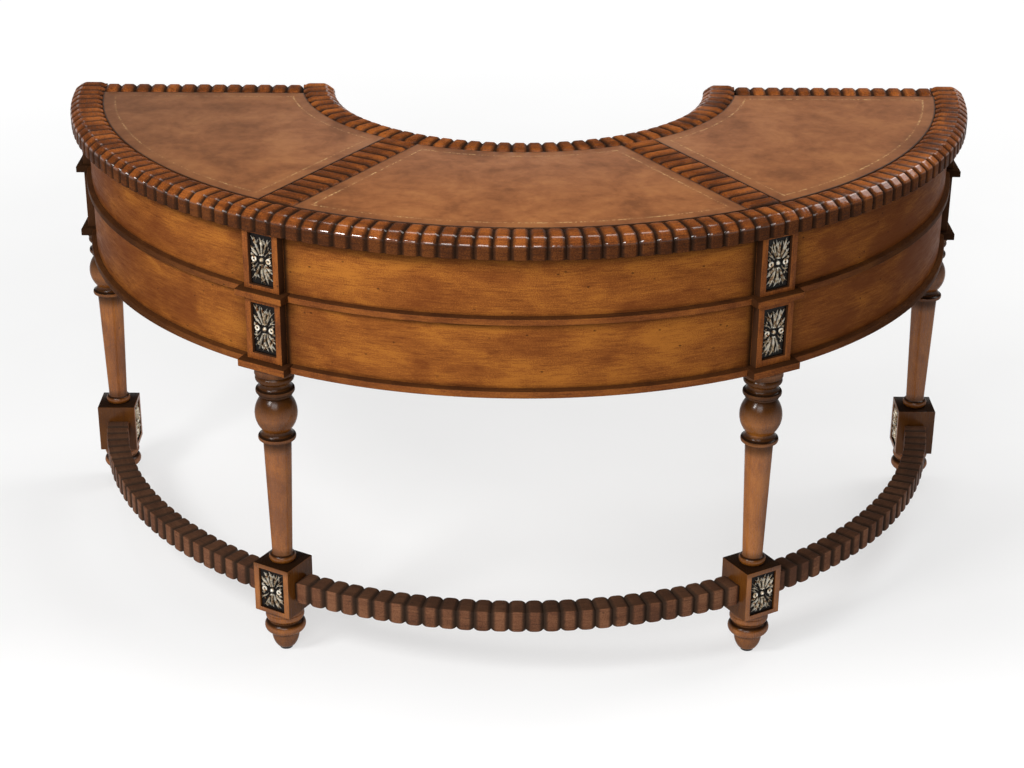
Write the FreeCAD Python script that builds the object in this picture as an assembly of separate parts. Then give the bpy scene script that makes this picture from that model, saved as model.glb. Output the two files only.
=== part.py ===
"""Demilune writing desk: a half-ring top on a curved apron, four turned legs and a lobed stretcher."""
import FreeCAD, Part
import math
import os

V = FreeCAD.Vector

# Top, all sizes in millimetres
TOP_HEIGHT = 775.0            # floor to the crest of the edge lobes
TOP_RADIUS = 786.0            # outer edge of the top, at the lobe crests
KNEEHOLE_RADIUS = 326.0       # inner edge of the top, at the lobe crests
END_SETBACK = 10.0            # straight ends of the top stand this far in front of the arc's centre
EDGE_WIDTH = 56.0             # lobed strip round the top
EDGE_THICKNESS = 34.0
EDGE_BEVEL_WIDTH = 14.0
EDGE_BEVEL_DROP = 10.0
EDGE_NOSE = 3.0               # rounding where a lobe runs down to the leather
CORNER_ROUND = 16.0           # rounding of the top's four corners, in plan
LOBE_PITCH = 27.0             # along the longer side of a strip
LOBE_DEPTH = 3.0
LOBE_CURVE = [1.0, 0.25, 0.0, 0.25]   # shares of the depth at four places along a lobe
LEATHER_SINK = 3.2            # leather surface below the lobe crests
LEATHER_THICKNESS = 1.5
DIVIDER_WIDTH = 62.0
DIVIDER_THICKNESS = 11.0
GLUE_LINE = 0.2               # room left between glued curved faces

# Apron and its mouldings
APRON_HEIGHT = 229.5          # from under the top to the apron's lower edge
APRON_OVERHANG = 28.0         # the top's edge stands this far out from the apron
APRON_THICKNESS = 18.0
MOULDING_PROJECTION = 9.0
MOULDING_SLOPE = 3.0          # fall of a moulding's or ledge's top face
MID_MOULDING_DROP = 110.5     # from under the top to the middle moulding's underside
MID_MOULDING_FILLET = 9.5
BASE_MOULDING_FILLET = 10.5

# Posts
POST_ANGLE = 30.6             # front posts and dividers, degrees from the middle of the front
POST_WIDTH = 66.0
POST_DEPTH = 41.0
POST_END_REVEAL = 2.0         # back posts stand this far inside the top's straight ends
FRAME_THICKNESS = 15.0
FRAME_BORDER = 10.5
LEDGE_WIDTH = 88.0
LEDGE_PROJECTION = 11.5       # ledges stand out from the frames
PLAQUE_THICKNESS = 3.0
PLAQUE_RELIEF = 5.0
PLAQUE_BOSS_RADIUS = 5.5
PLAQUE_VOLUTE_RADIUS = 6.0
PLAQUE_VOLUTE_SPREAD = 13.0   # volutes stand this far from the middle of a plaque
PLAQUE_LEAF_ROOT = 1.0        # leaf ribs: half gap at the root and at the tip, and their end margins
PLAQUE_LEAF_TIP = 3.0
PLAQUE_LEAF_MARGIN = 2.0
PLAQUE_LEAF_START = 8.8       # from the middle of the plaque
PLAQUE_MARGIN = 0.3

# Legs: radii and heights of the turned profile
LEG_INSET = 37.0              # leg axis inside the top's outer edge
COLLAR_RADIUS = 31.5
COLLAR_HEIGHT = 13.0
COLLAR_GROOVE = 2.0
NECK_RADIUS = 23.5            # narrow places between the turned rings
LOWER_COLLAR_HEIGHT = 11.5
RING_RADIUS = 30.8
RING_FLARE = 11.0             # hollow upper face of a ring
RING_HOLLOW = 2.0
RING_RIM = 5.5
RING_COVE = 8.0               # from the upper ring's rim in to the ball
BALL_RADIUS = 34.0
BALL_HEIGHT = 57.0
LOWER_RING_COVE = 2.0
SHAFT_TOP_RADIUS = 22.6
SHAFT_FOOT_RADIUS = 17.0
SHAFT_RING_RADIUS = 22.5
SHAFT_RING_HEIGHT = 12.0
BLOCK_SIZE = 68.0
BLOCK_BOTTOM = 77.5
BLOCK_HEIGHT = 87.5
BLOCK_PANEL_WIDTH = 48.0
BLOCK_PANEL_HEIGHT = 72.0
BLOCK_PANEL_DEPTH = 6.0
FOOT_DISC_RADIUS = 32.3
FOOT_DISC_HEIGHT = 22.0
FOOT_RING_RADIUS = 34.5
FOOT_RING_HEIGHT = 23.0
FOOT_TOP_RADIUS = 22.5
FOOT_TIP_RADIUS = 15.0
GLIDE_RADIUS = 10.5
GLIDE_HEIGHT = 4.0
BOLT_RADIUS = 4.0
BOLT_LENGTH = 80.0
BOLT_CLEARANCE = 0.05

# Stretcher
STRETCHER_WIDTH = 40.0
STRETCHER_HEIGHT = 37.0
TENON_WIDTH = 22.0
TENON_HEIGHT = 20.0
TENON_LENGTH = 14.0
TENON_CLEARANCE = 0.2

# Carcass behind the apron
KNEEHOLE_OVERHANG = 26.0      # the top's inner edge stands over the kneehole panels
KNEEHOLE_PANEL = 12.0
END_OVERHANG = 28.0           # the top's straight ends stand over the drawer fronts
END_FRAME = 18.0
PARTITION = 18.0
BOTTOM_BOARD = 12.0
DUST_BOARD = 12.0

# Drawers
DRAWER_GAP = 2.0              # round every drawer front
DRAWER_FRONT = 18.0
DRAWER_SIDE = 10.0
DRAWER_BOTTOM = 6.0
DRAWER_SIDE_DROP = 14.0       # box sides end this far below the top of the front
BOTTOM_GROOVE = 6.0           # drawer bottom above the lower edge of the sides
CENTRE_BOX_MARGIN = 24.0      # box sides inside the ends of the centre drawer's front
CENTRE_BOX_LIFT = 8.0         # box sides stand above the dust board on their runners
CENTRE_BACK_ROOM = 36.0       # from the corners of the centre drawer's box to the apron
END_STILE = 48.5              # end frame beside, under and over its drawer opening
END_LOW_RAIL = 28.0
END_TOP_RAIL = 29.5
END_BOX_MARGIN = 8.0          # box sides inside the drawer opening, on each side
END_BACK_ROOM = 11.5          # from an end drawer's runner to the apron
RUNNER_WIDTH = 20.0
RUNNER_LIP = 8.0
RUNNER_LIP_HEIGHT = 14.0
RUNNER_GAP = 0.5              # under and beside the box sides
KNOB_RADIUS = 11.0
KNOB_LENGTH = 22.0
KNOB_ROSE_RADIUS = 13.0
KNOB_ROSE_THICKNESS = 2.5
KNOB_NECK_RADIUS = 5.0
KNOB_STEM_RADIUS = 2.5

# Places worked out from the sizes above
FAR = 4.0 * TOP_RADIUS
ARC_Y = (TOP_RADIUS - END_SETBACK) / 2.0 + END_SETBACK
EDGE_BOTTOM = TOP_HEIGHT - EDGE_THICKNESS
APRON_BOTTOM = EDGE_BOTTOM - APRON_HEIGHT
MID_MOULDING_BOTTOM = EDGE_BOTTOM - MID_MOULDING_DROP
LEATHER_TOP = TOP_HEIGHT - LEATHER_SINK
BOARD_TOP = LEATHER_TOP - LEATHER_THICKNESS
LEATHER_OUTER = TOP_RADIUS - EDGE_WIDTH
LEATHER_INNER = KNEEHOLE_RADIUS + EDGE_WIDTH
LEATHER_END = ARC_Y - END_SETBACK - EDGE_WIDTH
TOP_END = ARC_Y - END_SETBACK
APRON_RADIUS = TOP_RADIUS - APRON_OVERHANG
APRON_INNER = APRON_RADIUS - APRON_THICKNESS
LEG_RADIUS = TOP_RADIUS - LEG_INSET
POST_HALF = POST_WIDTH / 2.0
POST_FACE = math.sqrt(APRON_RADIUS ** 2 - POST_HALF ** 2) - LEG_RADIUS
POST_BACK = POST_FACE - POST_DEPTH
FRAME_FACE = POST_FACE + FRAME_THICKNESS
LEDGE_FACE = FRAME_FACE + LEDGE_PROJECTION
BACK_LEG_Y = TOP_END - POST_END_REVEAL - POST_HALF
BACK_LEG_X = math.sqrt(LEG_RADIUS ** 2 - (ARC_Y - BACK_LEG_Y) ** 2)
BLOCK_TOP = BLOCK_BOTTOM + BLOCK_HEIGHT
BLOCK_MIDDLE = BLOCK_BOTTOM + BLOCK_HEIGHT / 2.0
PANEL_RADIUS = KNEEHOLE_RADIUS + KNEEHOLE_OVERHANG
PANEL_BACK = PANEL_RADIUS + KNEEHOLE_PANEL
END_FACE = TOP_END - END_OVERHANG
END_FRONT = END_FACE - END_FRAME
MID_MOULDING_TOP = MID_MOULDING_BOTTOM + MID_MOULDING_FILLET + MOULDING_SLOPE
BASE_MOULDING_TOP = APRON_BOTTOM + BASE_MOULDING_FILLET + MOULDING_SLOPE
DUST_TOP = MID_MOULDING_BOTTOM + DUST_BOARD
BOTTOM_TOP = APRON_BOTTOM + BOTTOM_BOARD
END_FRAME_INNER = math.sqrt(PANEL_RADIUS ** 2 - (ARC_Y - END_FRONT) ** 2)
END_FRAME_OUTER = BACK_LEG_X + POST_BACK - GLUE_LINE
END_MIDDLE = (END_FRAME_INNER + END_FRAME_OUTER) / 2.0
END_OPENING_HALF = (END_FRAME_OUTER - END_FRAME_INNER) / 2.0 - END_STILE
END_OPENING_LOW = APRON_BOTTOM + END_LOW_RAIL
END_OPENING_HIGH = EDGE_BOTTOM - END_TOP_RAIL


class Place:
    """A post's own frame: u points outwards, t runs along the apron, seen from the leg axis."""

    def __init__(self, name, angle, x, y, rear):
        self.name = name
        self.angle = angle
        self.rear = rear
        turn = math.degrees(math.atan2(-math.cos(angle), math.sin(angle)))
        self.frame = FreeCAD.Placement(V(x, y, 0), FreeCAD.Rotation(V(0, 0, 1), turn))

    def put(self, shape):
        moved = shape.copy()
        moved.Placement = self.frame.multiply(moved.Placement)
        return moved

    def box(self, u0, u1, t0, t1, z0, z1):
        return self.put(block(u0, u1, t0, t1, z0, z1))


def polar(radius, angle, z):
    return V(radius * math.sin(angle), ARC_Y - radius * math.cos(angle), z)


def block(x0, x1, y0, y1, z0, z1):
    return Part.makeBox(x1 - x0, y1 - y0, z1 - z0, V(x0, y0, z0))


def ring(inner, outer, z0, z1):
    centre = V(0, ARC_Y, z0)
    return Part.makeCylinder(outer, z1 - z0, centre).cut(Part.makeCylinder(inner, z1 - z0, centre))


def behind(y, z0, z1):
    return block(-FAR, FAR, y, FAR, z0, z1)


def left_to_right(shape):
    return sorted(shape.Solids, key=lambda s: s.CenterOfMass.x)


def face_from(points):
    return Part.Face(Part.makePolygon(points + [points[0]]))


def front_place(side):
    angle = side * math.radians(POST_ANGLE)
    axis = polar(LEG_RADIUS, angle, 0)
    return Place("front_right" if side > 0 else "front_left", angle, axis.x, axis.y, 0)


def back_place(side):
    name = "back_right" if side > 0 else "back_left"
    return Place(name, side * math.pi / 2.0, side * BACK_LEG_X, BACK_LEG_Y, side)


FRONT_LEFT = front_place(-1)
FRONT_RIGHT = front_place(1)
BACK_LEFT = back_place(-1)
BACK_RIGHT = back_place(1)
PLACES = [FRONT_LEFT, FRONT_RIGHT, BACK_LEFT, BACK_RIGHT]


def lobe_depths(count):
    """Place along the strip, and depth below the crest, of each section of its lobes."""
    sides = len(LOBE_CURVE)
    steps = sides * count
    return [(i / steps, LOBE_DEPTH * LOBE_CURVE[i % sides]) for i in range(steps + 1)]


def lobe_count(length):
    return max(2, round(length / LOBE_PITCH))


def loft(sections):
    wires = [Part.makePolygon(points + [points[0]]) for points in sections]
    return Part.makeLoft(wires, True, True)


def corner_cut(distance):
    """How far a rounded corner has drawn the outer edge in, at this distance from the end."""
    if distance >= CORNER_ROUND:
        return 0.0
    return CORNER_ROUND - math.sqrt(CORNER_ROUND ** 2 - (CORNER_ROUND - distance) ** 2)


def edge_profile(depth, drawn_in):
    """Edge strip's section: distance from the leather, and height."""
    outer = EDGE_WIDTH - depth - drawn_in
    crest = TOP_HEIGHT - depth
    return [
        (0.0, EDGE_BOTTOM),
        (outer, EDGE_BOTTOM),
        (outer, TOP_HEIGHT - EDGE_BEVEL_DROP),
        (outer - EDGE_BEVEL_WIDTH, crest),
        (EDGE_NOSE, crest),
        (0.0, LEATHER_TOP - LEATHER_THICKNESS),
    ]


def arc_edge(start, end, base, outwards, rounded):
    """Lobed strip along an arc: start and end give the angle of its end face at each radius."""
    longest = max(base, base + outwards * EDGE_WIDTH)
    length = longest * abs(end(longest) - start(longest))
    sections = []
    for share, depth in lobe_depths(lobe_count(length)):
        to_end = length
        if rounded < 0:
            to_end = length * share
        if rounded > 0:
            to_end = length * (1 - share)
        points = []
        for width, z in edge_profile(depth, corner_cut(to_end)):
            radius = base + outwards * width
            points.append(polar(radius, start(radius) * (1 - share) + end(radius) * share, z))
        sections.append(points)
    return loft(sections)


def middle_of(side):
    angle = side * math.radians(POST_ANGLE)
    return lambda radius: angle


def top_end_at(side):
    return lambda radius: side * math.acos(END_SETBACK / radius)


def end_edge(side):
    """Straight lobed strip across one end of the top, between the two curved strips."""
    inner = math.sqrt(LEATHER_INNER ** 2 - END_SETBACK ** 2) + GLUE_LINE
    outer_back = math.sqrt(LEATHER_OUTER ** 2 - END_SETBACK ** 2) - GLUE_LINE
    outer_front = math.sqrt(LEATHER_OUTER ** 2 - (END_SETBACK + EDGE_WIDTH) ** 2) - GLUE_LINE
    sections = []
    for share, depth in lobe_depths(lobe_count(outer_front - inner)):
        points = []
        for width, z in edge_profile(depth, 0.0):
            across = width / EDGE_WIDTH
            outer = outer_front * (1 - across) + outer_back * across
            points.append(V(side * (inner * (1 - share) + outer * share), LEATHER_END + width, z))
        sections.append(points)
    return loft(sections)


def divider(place):
    """Straight lobed strip between two leather panels; its lobes run across it."""
    half = DIVIDER_WIDTH / 2.0
    low = LEATHER_INNER + GLUE_LINE
    high = math.sqrt(LEATHER_OUTER ** 2 - half ** 2) - GLUE_LINE
    bottom = TOP_HEIGHT - DIVIDER_THICKNESS
    sections = []
    for share, depth in lobe_depths(lobe_count(high - low)):
        u = low + (high - low) * share - LEG_RADIUS
        crest = TOP_HEIGHT - depth
        side = LEATHER_TOP - LEATHER_THICKNESS
        sections.append([
            V(u, -half, bottom), V(u, half, bottom), V(u, half, side),
            V(u, half - EDGE_NOSE, crest), V(u, EDGE_NOSE - half, crest), V(u, -half, side),
        ])
    return place.put(loft(sections))


def divider_slot(place, room, z0, z1):
    half = DIVIDER_WIDTH / 2.0 + room
    return place.box(-LEG_RADIUS, LEG_INSET, -half, half, z0, z1)


def half_ring(inner, outer, rear, z0, z1):
    return ring(inner, outer, z0, z1).cut(behind(rear, z0, z1))


def top_board():
    board = half_ring(LEATHER_INNER + GLUE_LINE, LEATHER_OUTER - GLUE_LINE, LEATHER_END - GLUE_LINE,
                      EDGE_BOTTOM, BOARD_TOP)
    groove = TOP_HEIGHT - DIVIDER_THICKNESS
    for place in (FRONT_LEFT, FRONT_RIGHT):
        board = board.cut(divider_slot(place, GLUE_LINE, groove, TOP_HEIGHT))
    return board


def leather_panels():
    sheet = half_ring(LEATHER_INNER + GLUE_LINE, LEATHER_OUTER - GLUE_LINE, LEATHER_END - GLUE_LINE,
                      BOARD_TOP, LEATHER_TOP)
    for place in (FRONT_LEFT, FRONT_RIGHT):
        sheet = sheet.cut(divider_slot(place, GLUE_LINE, BOARD_TOP, TOP_HEIGHT))
    return left_to_right(sheet)


def between_posts(shape, half, z0, z1):
    """Cuts a curved piece into three bays that end at the posts."""
    for place in (FRONT_LEFT, FRONT_RIGHT):
        shape = shape.cut(place.box(-LEG_RADIUS, LEG_INSET + EDGE_WIDTH, -half, half, z0, z1))
    return left_to_right(shape.cut(behind(BACK_LEG_Y - half, z0, z1)))


def aprons():
    shell = ring(APRON_INNER, APRON_RADIUS, APRON_BOTTOM, EDGE_BOTTOM)
    return between_posts(shell, POST_HALF + GLUE_LINE, APRON_BOTTOM, EDGE_BOTTOM)


def moulding(bottom, fillet):
    """Three lengths of one moulding: a sloped top, a square fillet and a flat underside."""
    inner = APRON_RADIUS + GLUE_LINE
    outer = APRON_RADIUS + MOULDING_PROJECTION
    top = bottom + fillet + MOULDING_SLOPE
    profile = face_from([
        V(inner, ARC_Y, bottom), V(outer, ARC_Y, bottom),
        V(outer, ARC_Y, bottom + fillet), V(inner, ARC_Y, top),
    ])
    hoop = profile.revolve(V(0, ARC_Y, 0), V(0, 0, 1), 360)
    return Part.makeCompound(between_posts(hoop, LEDGE_WIDTH / 2.0 + GLUE_LINE, bottom, top))


def post(place):
    core = place.box(POST_BACK, POST_FACE, -POST_HALF, POST_HALF, APRON_BOTTOM, EDGE_BOTTOM)
    return core.cut(place.put(bolt(BOLT_CLEARANCE)))


def frame_ranges():
    """Lower and upper frame, bottom and top."""
    return [(BASE_MOULDING_TOP, MID_MOULDING_BOTTOM), (MID_MOULDING_TOP, EDGE_BOTTOM)]


def frame_opening():
    """Height of every frame's opening: the upper frames keep at least half a border above and below."""
    (low, high), (upper_low, upper_high) = frame_ranges()
    return min(high - low - 2 * FRAME_BORDER, upper_high - upper_low - FRAME_BORDER)


def post_frames():
    frames = []
    half = POST_HALF - FRAME_BORDER
    half_opening = frame_opening() / 2
    for place in PLACES:
        for low, high in frame_ranges():
            middle = (low + high) / 2
            outer = place.box(POST_FACE, FRAME_FACE, -POST_HALF, POST_HALF, low, high)
            opening = place.box(POST_FACE, FRAME_FACE, -half, half, middle - half_opening, middle + half_opening)
            frames.append(outer.cut(opening))
    return Part.makeCompound(frames)


def ledge(place, bottom, fillet):
    """Ledge under a frame; at the back posts it stops flush with the end of the post."""
    half = LEDGE_WIDTH / 2.0
    near = -POST_HALF if place.rear < 0 else -half
    far = POST_HALF if place.rear > 0 else half
    top = bottom + fillet
    profile = face_from([
        V(POST_FACE, near, bottom), V(LEDGE_FACE, near, bottom), V(LEDGE_FACE, near, top),
        V(FRAME_FACE, near, top + MOULDING_SLOPE), V(POST_FACE, near, top + MOULDING_SLOPE),
    ])
    return place.put(profile.extrude(V(0, far - near, 0)))


def post_ledges():
    ledges = []
    for place in PLACES:
        ledges.append(ledge(place, APRON_BOTTOM, BASE_MOULDING_FILLET))
        ledges.append(ledge(place, MID_MOULDING_BOTTOM, MID_MOULDING_FILLET))
    return Part.makeCompound(ledges)


def stud(radius, height, y, z):
    """Tapered stud that stands out of a plaque."""
    return Part.makeCone(radius, radius / 2, height, V(0, y, z), V(1, 0, 0))


def plaque(width, height, middle):
    """Cast plaque facing +X in its own frame: plate, middle boss, two volutes and four leaf ribs."""
    plate = block(0, PLAQUE_THICKNESS, -width / 2, width / 2, middle - height / 2, middle + height / 2)
    relief = PLAQUE_THICKNESS + PLAQUE_RELIEF
    core = PLAQUE_THICKNESS / 2
    raised = [stud(PLAQUE_BOSS_RADIUS, relief, 0, middle)]
    for side in (-1, 1):
        raised.append(stud(PLAQUE_VOLUTE_RADIUS, relief, side * PLAQUE_VOLUTE_SPREAD, middle))
        for end in (-1, 1):
            start = middle + end * PLAQUE_LEAF_START
            tip = middle + end * (height / 2 - PLAQUE_BOSS_RADIUS)
            leaf = face_from([
                V(core, side * PLAQUE_LEAF_ROOT, start),
                V(core, side * (width / 2 - PLAQUE_LEAF_MARGIN), tip),
                V(core, side * PLAQUE_LEAF_TIP, tip),
            ])
            raised.append(leaf.extrude(V(core + PLAQUE_RELIEF / 2, 0, 0)))
    return plate.fuse(raised).removeSplitter()


def post_plaques():
    width = POST_WIDTH - 2 * FRAME_BORDER - 2 * PLAQUE_MARGIN
    height = frame_opening() - 2 * PLAQUE_MARGIN
    solids = []
    for place in PLACES:
        for low, high in frame_ranges():
            piece = plaque(width, height, (low + high) / 2)
            piece.translate(V(POST_FACE, 0, 0))
            solids.append(place.put(piece))
    return Part.makeCompound(solids)


def block_plaques():
    width = BLOCK_PANEL_WIDTH - 2 * PLAQUE_MARGIN
    height = BLOCK_PANEL_HEIGHT - 2 * PLAQUE_MARGIN
    floor = BLOCK_SIZE / 2 - BLOCK_PANEL_DEPTH
    solids = []
    for place in PLACES:
        outer = plaque(width, height, BLOCK_MIDDLE)
        outer.translate(V(floor, 0, 0))
        inner = outer.copy()
        inner.rotate(V(0, 0, 0), V(0, 0, 1), 180)
        solids.append(place.put(outer))
        solids.append(place.put(inner))
    return Part.makeCompound(solids)


def bolt(room):
    return Part.makeCylinder(BOLT_RADIUS + room, BOLT_LENGTH, V(0, 0, APRON_BOTTOM - BOLT_LENGTH / 2))


def turned(steps):
    """Solid of revolution from a chain of (radius, height) points; a bulge point makes an arc."""
    edges = []
    last = V(0, 0, steps[0][1])
    for step in steps:
        if len(step) == 2:
            here = V(step[0], 0, step[1])
            edges.append(Part.LineSegment(last, here).toShape())
        else:
            here = V(step[2], 0, step[3])
            edges.append(Part.Arc(last, V(step[0], 0, step[1]), here).toShape())
        last = here
    foot = V(0, 0, last.z)
    edges.append(Part.LineSegment(last, foot).toShape())
    edges.append(Part.LineSegment(foot, V(0, 0, steps[0][1])).toShape())
    return Part.Face(Part.Wire(edges)).revolve(V(0, 0, 0), V(0, 0, 1), 360)


def flared_ring(top):
    """Steps of a ring that flares from a neck to a thin rim."""
    rim = top - RING_FLARE
    return [
        ((NECK_RADIUS + RING_RADIUS) / 2 - RING_HOLLOW, (top + rim) / 2 - RING_HOLLOW, RING_RADIUS, rim),
        (RING_RADIUS, rim - RING_RIM),
    ]


def leg_top():
    """Turned part from the apron down to the block."""
    collar = APRON_BOTTOM - COLLAR_HEIGHT
    groove = collar - COLLAR_GROOVE * 2
    ring_top = groove - LOWER_COLLAR_HEIGHT
    ball_top = ring_top - RING_FLARE - RING_RIM - RING_COVE
    ball_foot = ball_top - BALL_HEIGHT
    shaft_top = ball_foot - RING_FLARE - RING_RIM - LOWER_RING_COVE
    shaft_foot = BLOCK_TOP + SHAFT_RING_HEIGHT
    return turned([
        (COLLAR_RADIUS, APRON_BOTTOM),
        (COLLAR_RADIUS, collar),
        (COLLAR_RADIUS - COLLAR_GROOVE, groove),
        (COLLAR_RADIUS, groove - LOWER_COLLAR_HEIGHT / 2, NECK_RADIUS, ring_top),
        *flared_ring(ring_top),
        (NECK_RADIUS, ball_top),
        (BALL_RADIUS, ball_top - BALL_HEIGHT / 2, NECK_RADIUS, ball_foot),
        *flared_ring(ball_foot),
        (SHAFT_TOP_RADIUS, shaft_top),
        (SHAFT_FOOT_RADIUS, shaft_foot),
        (SHAFT_RING_RADIUS, shaft_foot - SHAFT_RING_HEIGHT / 2, SHAFT_FOOT_RADIUS, BLOCK_TOP),
    ])


def leg_foot():
    """Turned foot under the block."""
    disc = BLOCK_BOTTOM - FOOT_DISC_HEIGHT
    ring_foot = disc - FOOT_RING_HEIGHT
    return turned([
        (FOOT_DISC_RADIUS, BLOCK_BOTTOM),
        (FOOT_DISC_RADIUS, disc + COLLAR_GROOVE),
        (FOOT_DISC_RADIUS - COLLAR_GROOVE, disc),
        (FOOT_RING_RADIUS, disc - FOOT_RING_HEIGHT / 2, FOOT_TOP_RADIUS, ring_foot),
        (FOOT_TIP_RADIUS, GLIDE_HEIGHT + COLLAR_GROOVE),
        (GLIDE_RADIUS, GLIDE_HEIGHT),
    ])


def tenon(place, side, room):
    half = BLOCK_SIZE / 2
    return place.box(-TENON_WIDTH / 2 - room, TENON_WIDTH / 2 + room,
                     min(side * (half - TENON_LENGTH - room), side * (half + TENON_LENGTH)),
                     max(side * (half - TENON_LENGTH - room), side * (half + TENON_LENGTH)),
                     BLOCK_MIDDLE - TENON_HEIGHT / 2 - room, BLOCK_MIDDLE + TENON_HEIGHT / 2 + room)


def leg(place):
    half = BLOCK_SIZE / 2
    square = block(-half, half, -half, half, BLOCK_BOTTOM, BLOCK_TOP)
    low = BLOCK_MIDDLE - BLOCK_PANEL_HEIGHT / 2
    high = BLOCK_MIDDLE + BLOCK_PANEL_HEIGHT / 2
    wide = BLOCK_PANEL_WIDTH / 2
    square = square.cut(block(half - BLOCK_PANEL_DEPTH, half, -wide, wide, low, high))
    square = square.cut(block(-half, BLOCK_PANEL_DEPTH - half, -wide, wide, low, high))
    whole = place.put(square.fuse([leg_top(), leg_foot()]).cut(bolt(BOLT_CLEARANCE)))
    for side in tenon_sides(place):
        whole = whole.cut(tenon(place, side, TENON_CLEARANCE))
    return whole


def tenon_sides(place):
    """Faces of a leg's block that take a stretcher: both in front, only the front face at the back."""
    return (-1, 1) if place.rear == 0 else (-place.rear,)


def leg_glides():
    glide = Part.makeCylinder(GLIDE_RADIUS, GLIDE_HEIGHT)
    return Part.makeCompound([place.put(glide) for place in PLACES])


def leg_bolts():
    return Part.makeCompound([place.put(bolt(0.0)) for place in PLACES])


def block_side(place, side):
    """Angle, at each radius, of the block face that a stretcher meets."""
    half = BLOCK_SIZE / 2 + GLUE_LINE
    if place.rear == 0:
        return lambda radius: place.angle + side * math.asin(half / radius)
    return lambda radius: place.rear * math.acos((ARC_Y - BACK_LEG_Y + half) / radius)


def stretcher(start_place, end_place):
    """Curved lobed rail between two blocks, with a square tenon at each end."""
    start_side = 1 if start_place.rear == 0 else -start_place.rear
    end_side = -1 if end_place.rear == 0 else -end_place.rear
    start = block_side(start_place, start_side)
    end = block_side(end_place, end_side)
    length = LEG_RADIUS * abs(end(LEG_RADIUS) - start(LEG_RADIUS))
    sections = []
    for share, depth in lobe_depths(lobe_count(length)):
        wide = STRETCHER_WIDTH / 2 - depth
        tall = STRETCHER_HEIGHT / 2 - depth
        points = []
        for across, up in ((-wide, -tall), (wide, -tall), (wide, tall), (-wide, tall)):
            radius = LEG_RADIUS + across
            angle = start(radius) * (1 - share) + end(radius) * share
            points.append(polar(radius, angle, BLOCK_MIDDLE + up))
        sections.append(points)
    return loft(sections).fuse([tenon(start_place, start_side, 0.0), tenon(end_place, end_side, 0.0)])


def partition(place):
    inner = PANEL_RADIUS - LEG_RADIUS
    return place.box(inner, POST_BACK, -PARTITION / 2, PARTITION / 2, APRON_BOTTOM, EDGE_BOTTOM)


def three_bays(shape, z0, z1):
    """Left, centre and right parts of a curved board, between the partitions and the end frames."""
    half = PARTITION / 2 + GLUE_LINE
    slots = [place.box(-LEG_RADIUS, FAR, -half, half, z0, z1) for place in (FRONT_LEFT, FRONT_RIGHT)]
    return left_to_right(shape.cut(slots).cut(behind(END_FRONT, z0, z1)))


def kneehole_panels():
    shell = ring(PANEL_RADIUS, PANEL_BACK, APRON_BOTTOM, EDGE_BOTTOM)
    bays = three_bays(shell, APRON_BOTTOM, EDGE_BOTTOM)
    return bays[0], bays[2]


def clear_of_posts(board, z0, z1):
    half = POST_HALF + GLUE_LINE
    for place in PLACES:
        board = board.cut(place.box(POST_BACK - GLUE_LINE, FAR, -half, half, z0, z1))
    return board


def bottom_boards():
    sheet = ring(PANEL_BACK + GLUE_LINE, APRON_INNER - GLUE_LINE, APRON_BOTTOM, BOTTOM_TOP)
    bays = three_bays(clear_of_posts(sheet, APRON_BOTTOM, BOTTOM_TOP), APRON_BOTTOM, BOTTOM_TOP)
    return bays[0], bays[2]


def dust_board():
    sheet = ring(PANEL_RADIUS, APRON_INNER - GLUE_LINE, MID_MOULDING_BOTTOM, DUST_TOP)
    sheet = clear_of_posts(sheet, MID_MOULDING_BOTTOM, DUST_TOP)
    return three_bays(sheet, MID_MOULDING_BOTTOM, DUST_TOP)[1]


def mirrored(side, x0, x1, y0, y1, z0, z1):
    """A box on the right side of the desk, or its mirror on the left."""
    return block(min(side * x0, side * x1), max(side * x0, side * x1), y0, y1, z0, z1)


def end_frame(side):
    low = END_MIDDLE - END_OPENING_HALF
    high = END_MIDDLE + END_OPENING_HALF
    panel = mirrored(side, END_FRAME_INNER, END_FRAME_OUTER, END_FRONT, END_FACE, APRON_BOTTOM, EDGE_BOTTOM)
    return panel.cut(mirrored(side, low, high, END_FRONT, END_FACE, END_OPENING_LOW, END_OPENING_HIGH))


def knob(x, y, z):
    """Turned knob facing the sitter, with its screw stem through the drawer front."""
    neck = KNOB_ROSE_THICKNESS + (KNOB_LENGTH - KNOB_ROSE_THICKNESS) / 3
    head = (neck + KNOB_LENGTH) / 2
    shape = turned([
        (KNOB_ROSE_RADIUS, 0.0),
        (KNOB_ROSE_RADIUS, KNOB_ROSE_THICKNESS),
        (KNOB_NECK_RADIUS, KNOB_ROSE_THICKNESS),
        (KNOB_NECK_RADIUS, neck),
        (KNOB_RADIUS, head, KNOB_NECK_RADIUS, KNOB_LENGTH),
    ])
    shape = shape.fuse(Part.makeCylinder(KNOB_STEM_RADIUS, DRAWER_FRONT, V(0, 0, -DRAWER_FRONT)))
    shape.rotate(V(0, 0, 0), V(1, 0, 0), -90)
    shape.translate(V(x, y, z))
    return shape


def knob_hole(x, y, z):
    towards_sitter = V(0, 1, 0)
    back = V(x, y - DRAWER_FRONT, z)
    stem = Part.makeCylinder(KNOB_STEM_RADIUS + BOLT_CLEARANCE, DRAWER_FRONT, back, towards_sitter)
    seat = Part.makeCylinder(KNOB_ROSE_RADIUS + GLUE_LINE, KNOB_LENGTH, V(x, y, z), towards_sitter)
    return stem.fuse(seat)


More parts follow.
